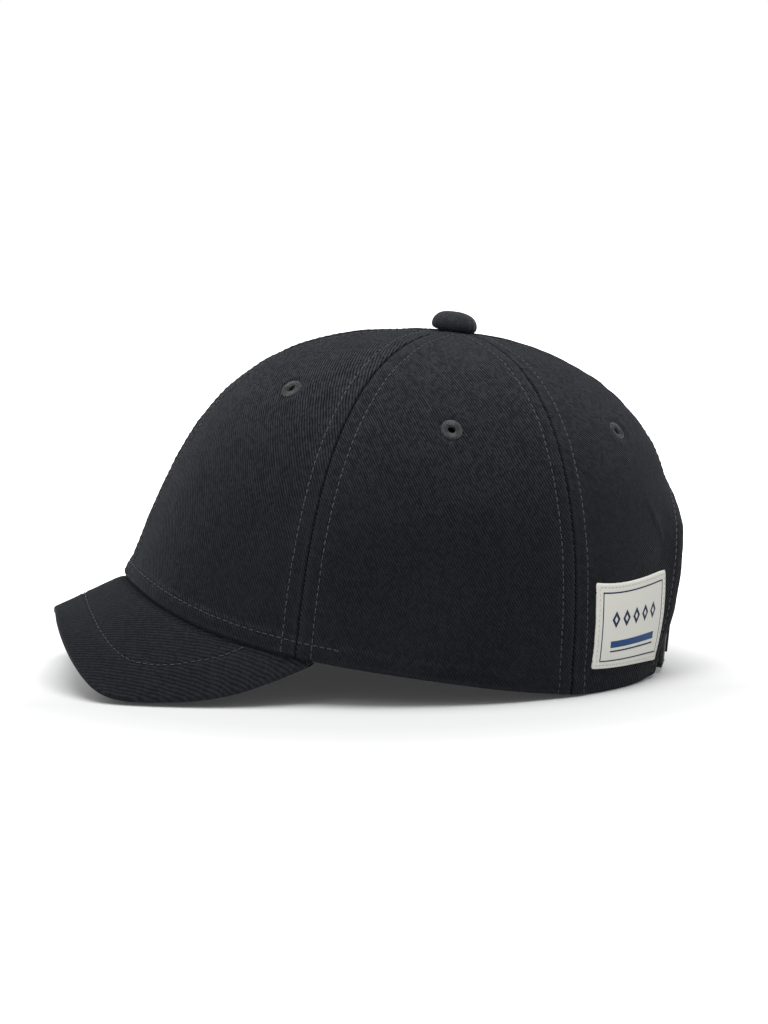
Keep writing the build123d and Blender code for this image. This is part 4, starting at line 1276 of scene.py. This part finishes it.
def build_label():
    across, down = np.meshgrid(np.linspace(0, 1, 81), np.linspace(0, 1, 61), indexing="ij")
    x, y = round_corners((across - 0.5) * LABEL_WIDTH, (down - 0.5) * LABEL_HEIGHT,
                         LABEL_WIDTH, LABEL_HEIGHT, LABEL_CORNER)
    edge = np.minimum(LABEL_WIDTH / 2 - np.abs(x), LABEL_HEIGHT / 2 - np.abs(y))
    spot = label_spot(x, y)
    points, normals = crown(*spot), crown_normal(*spot)
    lift = (0.80 - 0.42 * bell(edge, 0.30, 1.6) - 0.10 * bell(edge - 1.5, 0.4)
            + 0.10 * bell(edge - 0.9, 0.6) + 0.14 * noise3(points, 11.0, 61) * ramp(1, 6, edge))
    base = cloth_height(points.reshape(-1, 3)).reshape(x.shape)
    base = 0.5 * base + 0.5 * base.mean()
    sheet("label_woven", points + normals * (lift + base)[..., None],
          points + normals * (0.05 + base)[..., None], stack(x, y), LABEL, wear_and_shade=0,
          replaces="label_patch", sharp=50)
    # stitching 1.5 mm in from the edge
    half_x, half_y = (LABEL_WIDTH - 3) / 2, (LABEL_HEIGHT - 3) / 2
    corners = np.array([(-1, -1), (1, -1), (1, 1), (-1, 1), (-1, -1)]) * [half_x, half_y]
    along = run(corners)
    path = wrap(sample(np.linspace(0, along[-1], 400, endpoint=False), along, corners), 0)
    spot = label_spot(path[:, 0], path[:, 1])
    points, normals = crown(*spot), crown_normal(*spot)
    height = 0.70 + 0.5 * cloth_height(points) + 0.5 * base.mean()
    row = Stitching()
    row.add(points + normals * height[:, None], normals, length=1.5, gap=0.35, radius=0.17,
            lift=0.05, dip=0.14, seed=170)
    row.build("label_stitching", CREAM_THREAD)


build_label()

# ------------------------------------------------------------------ rear strap
# radius at Z = 0 and its growth per mm of height, thickness, foot and height
STRAP_RADIUS, STRAP_CONE, STRAP_T, STRAP_Z, STRAP_HEIGHT = 74.10, 0.10, 1.1, 3.6, 20.0


def strap_point(bearing, z, out):
    """bearing: degrees from the rear over the wearer's left; z above the strap's foot."""
    turn, z = np.radians(bearing), STRAP_Z + z
    radius = STRAP_RADIUS + STRAP_CONE * z + out
    return stack(radius * np.sin(turn), AXIS_Y + radius * np.cos(turn), z)


def strap_normal(bearing):
    turn = np.radians(bearing)
    return stack(np.sin(turn), np.cos(turn), 0)


def build_strap():
    bearing = np.linspace(-50, 50, 241)
    column = bearing[:, None]
    up = np.concatenate([[0, 0.12, 0.4, 0.9, 1.6, 2.6, 3.4], np.linspace(4.2, 15.8, 12),
                         [16.6, 17.4, 18.4, 19.1, 19.6, 19.88, STRAP_HEIGHT]])
    edge = np.minimum(up, STRAP_HEIGHT - up)
    # rounded edges and the sunk stitch rows, on both faces
    sunk = 0.06 + 0.50 * bell(edge, 0.35, 1.3) + 0.12 * bell(edge - 2.4, 0.5)
    wavy = 0.05 * noise2(column * 1.3 / 7, up / 7, 71) * 0.5
    sheet("rear_strap_cloth", strap_point(column, up, wavy - sunk),
          strap_point(column, up, wavy + sunk - STRAP_T), grain_uv(column * 1.3, up), FINE_TWILL,
          wear_and_shade=0.5 * bell(edge - 0.7, 0.6), body="strap", replaces="rear_strap", sharp=70)
    rows = Stitching()
    for up, outer_seed, inner_seed in ((2.4, 182, 192), (17.6, 197, 207)):
        for out, side, seed in ((-0.20, 1, outer_seed), (-STRAP_T + 0.20, -1, inner_seed)):
            rows.add(strap_point(bearing, up, out), side * strap_normal(bearing), length=2.5,
                     gap=0.7, radius=0.2, lift=0.06, dip=0.16, seed=seed)
    rows.build("rear_strap_stitching", THREAD, body="strap")


build_strap()


# ------------------------------------------------------------------ buckle loop
def buckle_frame():
    """The buckle's own frame: x along the strap, y up it, z outward."""
    turn, lean = math.radians(17.0), math.atan(STRAP_CONE)
    origin = strap_point(17.0, STRAP_HEIGHT / 2, -STRAP_T / 2)
    outward = np.array([math.sin(turn) * math.cos(lean), math.cos(turn) * math.cos(lean),
                        -math.sin(lean)])
    along = np.array([math.cos(turn), -math.sin(turn), 0.0])
    return origin, along, np.cross(along, outward), outward


# x, z in the buckle's frame: out through the slot, round the end bar and back
LOOP_PATH = np.array([(4.55, -3.05), (4.5, -2.35), (4.55, -1.32), (4.75, -1.02), (5.2, -0.86),
                      (6.2, -0.90), (6.85, -1.02), (7.2, -1.5), (7.5, -1.95)])
LOOP_HEIGHT, LOOP_T = 17.6, 0.62


def build_buckle_loop():
    axes = buckle_frame()
    up = np.concatenate([[0, 0.1, 0.35, 0.8, 1.5], np.linspace(2.3, 15.3, 12),
                         [16.1, 16.8, 17.25, 17.5, LOOP_HEIGHT]])
    path = stack(*(smooth(column, 3) for column in resample(LOOP_PATH, 0.25).T))
    turn = in_frame(axes, path[:, 0:1], up[None, :] - LOOP_HEIGHT / 2, path[:, 1:2])
    tangent = unit(np.gradient(path, axis=0))
    normals = axes[1] * (-tangent[:, 1])[:, None] + axes[3] * tangent[:, 0][:, None]
    # the outer leg continues along the circle, under the strap
    bearing = np.linspace(24.6, 38.0, 40)
    leg = strap_point(bearing[:, None], 1.2 + up[None, :], -STRAP_T - 0.66)
    settled = ramp(0, 6, np.arange(len(bearing)))[:, None, None]
    leg = leg * settled + (turn[-1] + leg - leg[0]) * (1 - settled)
    centre = np.concatenate([turn, leg[1:]])
    normals = np.concatenate([normals, strap_normal(bearing)[1:]])[:, None, :]
    along = run(path)
    along = np.concatenate([along, along[-1] + np.arange(1, len(bearing)) * 0.45])[:, None]
    edge = np.minimum(up, LOOP_HEIGHT - up)[None, :]
    half = (LOOP_T / 2 * (1 - 0.8 * bell(edge, 0.3, 1.3)))[..., None]
    sheet("buckle_loop_cloth", centre + normals * half, centre - normals * half,
          grain_uv(along, up[None, :]), FINE_TWILL, wear_and_shade=0.4 * bell(edge - 0.6, 0.5),
          replaces="buckle_loop", sharp=70)


build_buckle_loop()

# ------------------------------------------------------------------ protective insert
INSERT_GAP, SHELL_T, PAD_GAP, PAD_T = 4.2, 2.2, 0.42, 5.0
PAD_DEPTH = SHELL_T + PAD_GAP          # pad's shell face below the insert's outer face
FLANGE = 0.9                           # thickness of a pad's sewn edge
PAD_FULL = PAD_T - 0.8                 # thickness of its middle before it is blown up
PAD_CORNER = 6.0
WALL_TOP = 0.43                        # drop of the wall pads' upper edge


def opening_radii():
    """The inside of the sweatband, as a radius about the opening's centre at each degree."""
    angle = np.arange(0, 360, 0.5)
    inset = sweat_offset(angle) + 1.4
    top = drop_above_rim(angle, SWEAT_TOP)
    bearings, radii = [], []
    for j in range(5):
        points = off_crown(angle, 0.999 + (top - 0.999) * j / 4, -inset)
        x, y = points[:, 0], points[:, 1] - OPEN_Y
        bearings.append(np.degrees(np.arctan2(x, -y)) % 360)
        radii.append(np.hypot(x, y))
    bearings, radii = np.concatenate(bearings), np.concatenate(radii)
    least = [radii[np.abs((bearings - degree + 180) % 360 - 180) < 1.2].min() - 0.8
             for degree in range(360)]
    return np.array(least + least[:1])


OPENING_RADII = opening_radii()


def insert_point(angle, drop, depth):
    """A point `depth` inside the insert's outer face, held within the sweatband."""
    depth = np.asarray(depth, float)
    points = off_crown(angle, drop, -(INSERT_GAP + depth))
    x, y = points[..., 0], points[..., 1] - OPEN_Y
    radius = np.maximum(np.hypot(x, y), 1e-6)
    bearing = np.degrees(np.arctan2(x, -y)) % 360
    limit = np.interp(bearing, np.arange(361), OPENING_RADII) - depth
    held = (1 + (radius / limit) ** 26) ** (-1 / 26)
    return np.stack([x * held, y * held + OPEN_Y, points[..., 2]], -1)


def angle_in_plan(x, y):
    """The crown angle whose meridian passes over a plan point, measured from the apex."""
    wanted = np.degrees(np.arctan2(x, -y))
    angle = wanted.copy()
    for _ in range(8):
        points = crown(angle, 0.3)
        got = np.degrees(np.arctan2(points[..., 0], -(points[..., 1] - APEX_Y)))
        angle = angle + (wanted - got + 180) % 360 - 180
    return (angle + 180) % 360 - 180


def plan_patch(half, centre_x, centre_y, height, sense):
    """Maps a square patch, seen in plan, onto the crown.

    The result takes x, y and a depth, measured from `height` off the crown towards `sense`.
    """
    drops = np.linspace(0.0005, 0.75, 500)

    def point(x, y, depth):
        across, along = x / half, y / half
        plan_x = centre_x + half * across * np.sqrt(np.maximum(1 - 0.36 * along * along, 0))
        plan_y = centre_y + half * along * np.sqrt(np.maximum(1 - 0.36 * across * across, 0))
        angle = angle_in_plan(plan_x, plan_y + 1e-9)
        reach = np.maximum(np.hypot(plan_x, plan_y), 0.3)
        drop = [drop_at_reach(*pair, drops) for pair in zip(angle.ravel(), reach.ravel())]
        return off_crown(angle, np.reshape(drop, angle.shape), height + sense * depth)
    return point


def rounded_grid(across, along, width, height, radius):
    """A grid over a rounded rectangle: x, y from its middle, distance from the edge."""
    def line(count, length):
        close = np.array([0, 0.35, 0.8, 1.4, 2.2, 3.2, 4.4])
        middle = np.linspace(close[-1], length - close[-1], count)[1:-1]
        return np.concatenate([close, middle, length - close[::-1]]) - length / 2

    x, y = np.meshgrid(line(across, width), line(along, height), indexing="ij")
    x, y = round_corners(x, y, width, height, radius)
    over_x = np.abs(x) - (width / 2 - radius)
    over_y = np.abs(y) - (height / 2 - radius)
    edge = np.where((over_x > 0) & (over_y > 0), radius - np.hypot(over_x, over_y),
                    np.minimum(width / 2 - np.abs(x), height / 2 - np.abs(y)))
    return x, y, np.maximum(edge, 0)


def inflate(cushion, pinned, outward):
    """Blows the cushion up as cloth between its sewn lines, within set bounds."""
    most_move, pressure, frames = 1.5, 9.0, 18
    mesh = cushion.data
    rest = np.empty(len(mesh.vertices) * 3, np.float32)
    mesh.vertices.foreach_get("co", rest)
    rest = rest.reshape(-1, 3).astype(float)
    group = cushion.vertex_groups.new(name="sewn")
    group.add(np.nonzero(pinned)[0].tolist(), 1.0, "REPLACE")
    modifier = cushion.modifiers.new("cloth", "CLOTH")
    cloth = modifier.settings
    cloth.quality = 4
    cloth.mass = 0.008
    cloth.tension_stiffness = cloth.compression_stiffness = 6
    cloth.shear_stiffness = 3
    cloth.bending_stiffness = 0.05
    cloth.tension_damping = cloth.compression_damping = cloth.shear_damping = 5
    cloth.air_damping = 3
    cloth.use_pressure = True
    cloth.uniform_pressure_force = pressure
    cloth.vertex_group_mass = "sewn"
    cloth.pin_stiffness = 1.0
    cloth.effector_weights.gravity = 0
    modifier.collision_settings.use_collision = False
    modifier.collision_settings.use_self_collision = False
    SCENE.frame_start, SCENE.frame_end = 1, frames
    modifier.point_cache.frame_start, modifier.point_cache.frame_end = 1, frames
    for number in range(1, frames + 1):
        SCENE.frame_set(number)
    blown = cushion.evaluated_get(bpy.context.evaluated_depsgraph_get()).data
    moved = np.empty(len(blown.vertices) * 3, np.float32)
    blown.vertices.foreach_get("co", moved)
    moved = moved.reshape(-1, 3).astype(float)
    cushion.modifiers.remove(modifier)
    SCENE.frame_set(1)
    shift = (moved - rest) / MM
    # a simulation that blew apart leaves the cushion as it was
    if not np.isfinite(shift).all():
        shift[:] = 0
    shift = shift * np.minimum(1, most_move / np.maximum(norm(shift)[:, None], 1e-9))
    # hold back movement towards the shell
    towards_shell = (shift * outward).sum(1, keepdims=True)
    shift = shift - outward * np.maximum(towards_shell, 0) * 0.96
    mesh.vertices.foreach_set("co", (rest + shift * MM).astype(np.float32).ravel())
    mesh.update()
    cushion.vertex_groups.clear()


def build_cushion(node, point, width, height, across, along, seams, seed):
    """A pad over a rounded rectangle, sewn round its edge and down the seams at given x."""
    name = node + "_cushion"
    x, y, edge = rounded_grid(across, along, width, height, PAD_CORNER)
    to_seam = np.full(x.shape, FAR)
    for seam in seams:
        beside = np.where(np.abs(y) < height / 2 - 4.0, np.abs(x - seam), FAR)
        to_seam = np.minimum(to_seam, beside)
    thick = FLANGE + (PAD_FULL - FLANGE) * ramp(1.9, 5.2, edge) ** 0.8
    thick = thick * (1 - 0.62 * bell(to_seam, 1.5, 1.5))
    lump = 0.28 * noise3(stack(x, y, 0), 13.0, seed) * ramp(3, 8, edge)
    near, far = point(x, y, 0.10), point(x, y, thick + lump)
    cushion = sheet(name, far, near, stack(x, y), PAD_CLOTH, wear_and_shade=0, body="insert",
                    replaces=node, sharp=75)
    sewn = ((edge < 2.3) | (to_seam < 1.0)).ravel()
    outward = unit(near - far).reshape(-1, 3)
    inflate(cushion, np.concatenate([sewn, np.ones(x.size, bool)]),
            np.concatenate([outward, outward]))
    rows = Stitching()

    def stitch(x, y, front, back, lift, seed):
        face = point(x, y, front)
        rows.add(face, unit(face - point(x, y, back)), length=2.2, gap=0.6, radius=0.2,
                 lift=lift, seed=seed)

    inset = 1.3
    radius = PAD_CORNER - inset
    flat_x, flat_y = width / 2 - inset - radius, height / 2 - inset - radius
    outline = []
    for side_x, side_y, start in ((1, 1, 0), (-1, 1, 90), (-1, -1, 180), (1, -1, 270)):
        for turn in np.radians(np.linspace(start, start + 90, 14)):
            outline.append((side_x * flat_x + radius * math.cos(turn),
                            side_y * flat_y + radius * math.sin(turn)))
    outline = resample(wrap(np.array(outline), 0), 0.6)
    stitch(outline[:, 0], outline[:, 1], FLANGE + 0.02, 0.1, lift=0.04, seed=200 + seed)
    for seam in seams:
        y = np.arange(-height / 2 + 4.6, height / 2 - 4.6, 0.8)
        stitch(np.full(len(y), seam), y, 0.38 * PAD_FULL + 0.02, 0, lift=0.06, seed=220 + seed)
    rows.build(name + "_stitching", THREAD, body="insert")


def wall_pad(start, end):
    """A pad's point function, width and height, between two angles."""
    angles = np.linspace(start, end, 41)
    turn = np.radians(angles)
    low_z = 53.5 + 18.5 * np.cos(2 * turn) + np.cos(turn) + 3.0
    drops = np.linspace(0.05, 1, 700)
    bottom = np.array([np.interp(-z, -insert_point(angle, drops, PAD_DEPTH)[:, 2], drops)
                       for angle, z in zip(angles, low_z)])
    width = run(insert_point(angles, (WALL_TOP + bottom) / 2, PAD_DEPTH))[-1]
    middle = (start + end) / 2
    column = np.linspace(WALL_TOP, np.interp(middle, angles, bottom), 50)
    height = run(insert_point(middle, column, PAD_DEPTH))[-1]

    def point(x, y, depth):
        angle = start + (end - start) * (x / width + 0.5)
        drop = WALL_TOP + (np.interp(angle, angles, bottom) - WALL_TOP) * (0.5 - y / height)
        return insert_point(angle, drop, PAD_DEPTH + 0.08 + depth)
    return point, width, height


# pad, start angle, end angle, seams as shares of the width
WALL_PADS = (("front_pad", -40, 40, (-0.25, 0.0, 0.25)), ("left_pad", 64, 116, (-0.17, 0.17)),
             ("right_pad", 244, 296, (-0.17, 0.17)), ("rear_pad", 144, 216, (-0.17, 0.17)))
CROWN_PAD = 62.0                       # side of the square pad at the top
PAD_CELL = 2.6
for k, (node, start, end, seams) in enumerate(WALL_PADS):
    point, width, height = wall_pad(start, end)
    build_cushion(node, point, width, height, max(12, int(width / PAD_CELL)),
                  max(8, int(height / PAD_CELL)), [share * width for share in seams], seed=k)
build_cushion("crown_pad", plan_patch(CROWN_PAD / 2, 0, 0, -(INSERT_GAP + PAD_DEPTH + 0.08), -1),
              CROWN_PAD, CROWN_PAD, across=22, along=22, seams=[], seed=9)

# ------------------------------------------------------------------ touch-fastener squares
TABS = ((31, 0.262), (149, 0.30), (211, 0.30), (329, 0.262))     # angle, drop
TAB_SIDE, TAB_T = 17.0, 0.50


def tufts(point, hook, seed):
    """Verts and faces of small arcs of filament on a tab: closed loops, or open hooks."""
    random = np.random.RandomState(seed)
    places = np.arange(-7.4, 7.41, 1.14)
    root_x, root_y = (part.ravel() for part in np.meshgrid(places, places))
    root_x = root_x + random.uniform(-0.3, 0.3, root_x.shape)
    root_y = root_y + random.uniform(-0.3, 0.3, root_y.shape)
    if hook:
        bearing = np.where(np.arange(len(root_x)) % 2, 0.0, math.pi)
        half, tall, radius, sweep = 0.34, 0.50, 0.11, math.pi * 1.25
    else:
        bearing = random.uniform(0, math.pi, len(root_x))
        half, tall, radius, sweep = 0.42, 0.62, 0.085, math.pi
    turn = np.linspace(0, sweep, 8)[None, :]
    out, height = half * np.cos(turn), tall * np.sin(turn)
    if hook:
        height = np.where(turn > math.pi / 2, tall * (1 + np.sin(turn)) / 2, height)
    x = root_x[:, None] + out * np.cos(bearing)[:, None]
    y = root_y[:, None] + out * np.sin(bearing)[:, None]
    core = point(x, y, TAB_T + height - 0.06)
    tangent = unit(np.gradient(core, axis=1) + 1e-9)
    away = unit(point(x, y, TAB_T + height + 0.5) - core)
    side = unit(np.cross(away + 1e-6, tangent) + 1e-7)
    up = np.cross(tangent, side)
    verts = np.stack([core + side * math.cos(a) * radius + up * math.sin(a) * radius
                      for a in circle(5)], 2)
    ids = np.arange(verts.size // 3).reshape(verts.shape[:3])
    faces = grid_quads(wrap(ids, 2)) + ids[:, 0, ::-1].tolist() + ids[:, -1, :].tolist()
    return verts.reshape(-1, 3), faces


def build_tabs(kind, height, sense, body, base, filament):
    verts, faces, count = [], [], 0
    for k, (angle, drop) in enumerate(TABS):
        centre = crown(angle, drop)
        point = plan_patch(TAB_SIDE / 2, centre[0], centre[1] - APEX_Y, height, sense)
        x, y, edge = rounded_grid(9, 9, TAB_SIDE, TAB_SIDE, 1.5)
        rounding = bell(edge, 0.4, 1)
        sheet(f"{kind}_tab_{k + 1}", point(x, y, TAB_T - 0.2 * rounding),
              point(x, y, 0.02 + 0.1 * rounding), stack(x, y), base, wear_and_shade=0, body=body,
              replaces=f"{kind}_tabs", sharp=60)
        more, more_faces = tufts(point, kind == "hook", 300 + k)
        faces += [[i + count for i in face] for face in more_faces]
        verts.append(more)
        count += len(more)
    verts = np.concatenate(verts)
    add_mesh(f"{kind}_tab_{kind}s", verts, faces, verts[:, :2], filament, body=body, sharp=0)


build_tabs("loop", -FABRIC - 0.08, -1, "cap", PILE, PILE_THREAD)
build_tabs("hook", -INSERT_GAP + 0.1, 1, "insert", HOOK, HOOK)

# ------------------------------------------------------------------ finishes of the hard parts
for node, (material, slot) in (
        ("button_rivet", RIVET_METAL), ("peak_board", BOARD_PLASTIC),
        ("buckle_frame", BUCKLE_METAL), ("buckle_pin", BUCKLE_METAL),
        ("buckle_clamp", BUCKLE_METAL), ("bump_shell", SHELL_PLASTIC)):
    part = NODES[node]
    part.data.materials.clear()
    part.data.materials.append(material)


# ------------------------------------------------------------------ stage, light and camera
def floor_material():
    """Grey under the cap and white further out, with a glow only the camera sees."""
    shade = Shader("studio_floor")
    tone = shade.noise(shade.place(), scale=3.0, detail=3.0)
    x, y, _ = shade.split(shade.node("NewGeometry", output="Position"))
    away = (x * x + y * y).math("SQRT")
    by_camera = shade.node("LightPath", output="Is Camera Ray")
    # glow by distance in metres, and more on the wearer's right beyond the cap
    glow = (away.remap((0.12, 0.40), (0.035, 0.75))
            + x.remap((-0.02, 0.06), (0.34, 0.0)) * away.remap((0.088, 0.118), (0.0, 1.0)))
    shade.fill(shade.principled, {"Emission Color": (1, 1, 1, 1),
                                  "Emission Strength": glow * by_camera})
    under = shade.mix(by_camera, (0.77, 0.77, 0.773, 1), (0.52, 0.52, 0.522, 1))
    beyond = shade.mix(tone, (0.905, 0.905, 0.905, 1), (0.915, 0.915, 0.915, 1))
    color = shade.mix(away.remap((0.14, 0.32), (0.0, 1.0)), under, beyond)
    return shade.surface(color, roughness=0.85, specular=0.1)[0]


def build_floor():
    sides, radii, level = 48, (0.3, 1.0, 3.0, 9.0), -0.0004      # metres
    verts = [(0.0, 0.0, level)]
    for radius in radii:
        verts += [(radius * math.cos(2 * math.pi * k / sides),
                   radius * math.sin(2 * math.pi * k / sides), level) for k in range(sides)]
    faces = [[0, 1 + k, 1 + (k + 1) % sides] for k in range(sides)]
    for j in range(len(radii) - 1):
        near, far = 1 + j * sides, 1 + (j + 1) * sides
        faces += [[near + k, far + k, far + (k + 1) % sides, near + (k + 1) % sides]
                  for k in range(sides)]
    mesh = bpy.data.meshes.new("studio_floor")
    mesh.from_pydata(verts, [], faces)
    mesh.materials.append(floor_material())
    floor = bpy.data.objects.new("studio_floor", mesh)
    SCENE.collection.objects.link(floor)


def build_world():
    """A soft cool fill for the light, plain white for the camera."""
    world = bpy.data.worlds.new("studio")
    SCENE.world = world
    world.use_nodes = True
    nodes, link = world.node_tree.nodes, world.node_tree.links.new
    nodes.clear()
    output = nodes.new("ShaderNodeOutputWorld")
    mix = nodes.new("ShaderNodeMixShader")
    link(nodes.new("ShaderNodeLightPath").outputs["Is Camera Ray"], mix.inputs[0])
    for k, (color, strength) in enumerate((((0.97, 0.985, 1.0, 1), 0.50), ((1, 1, 1, 1), 1.0))):
        background = nodes.new("ShaderNodeBackground")
        background.inputs["Color"].default_value = color
        background.inputs["Strength"].default_value = strength
        link(background.outputs[0], mix.inputs[k + 1])
    link(mix.outputs[0], output.inputs[0])


# metres: the camera looks at the wearer's left side from slightly ahead
CAMERA_AZIMUTH, CAMERA_RISE, CAMERA_DISTANCE = math.radians(81.8547), math.radians(7.3926), 1.2
AIM = Vector((0, 0.01419, 0.0584))
TO_CAMERA = Vector((math.sin(CAMERA_AZIMUTH) * math.cos(CAMERA_RISE),
                    -math.cos(CAMERA_AZIMUTH) * math.cos(CAMERA_RISE), math.sin(CAMERA_RISE)))
CAMERA_RIGHT = Vector((0, 0, 1)).cross(TO_CAMERA).normalized()
LIGHT_AIM = Vector((0, 0.01, 0.05))


def build_camera():
    data = bpy.data.cameras.new("camera")
    data.lens, data.sensor_width = 110.62, 36.0
    data.shift_x, data.shift_y = -0.01724, 0.00234
    data.clip_start = 0.05
    camera = bpy.data.objects.new("camera", data)
    camera.location = AIM + TO_CAMERA * CAMERA_DISTANCE
    camera.rotation_euler = (-TO_CAMERA).to_track_quat("-Z", "Y").to_euler()
    SCENE.collection.objects.link(camera)
    SCENE.camera = camera


def softbox(name, place, side, power):
    data = bpy.data.lights.new(name, "AREA")
    data.shape = "RECTANGLE"
    data.size = data.size_y = side
    data.energy = power
    data.color = (1, 1, 1)
    light = bpy.data.objects.new(name, data)
    light.location = place
    light.rotation_euler = (place - LIGHT_AIM).to_track_quat("Z", "Y").to_euler()
    SCENE.collection.objects.link(light)


build_floor()
build_world()
build_camera()
softbox("overhead_softbox", AIM + Vector((0, 0, 1.25)) + TO_CAMERA * 0.25, side=1.1, power=26.0)
softbox("key_softbox", AIM + TO_CAMERA * 0.9 - CAMERA_RIGHT * 0.8 + Vector((0, 0, 0.9)),
        side=0.7, power=3.4)
SCENE.view_settings.view_transform = "Standard"
SCENE.view_settings.look = "None"
SCENE.view_settings.exposure = 0.0
SCENE.view_settings.gamma = 1.0
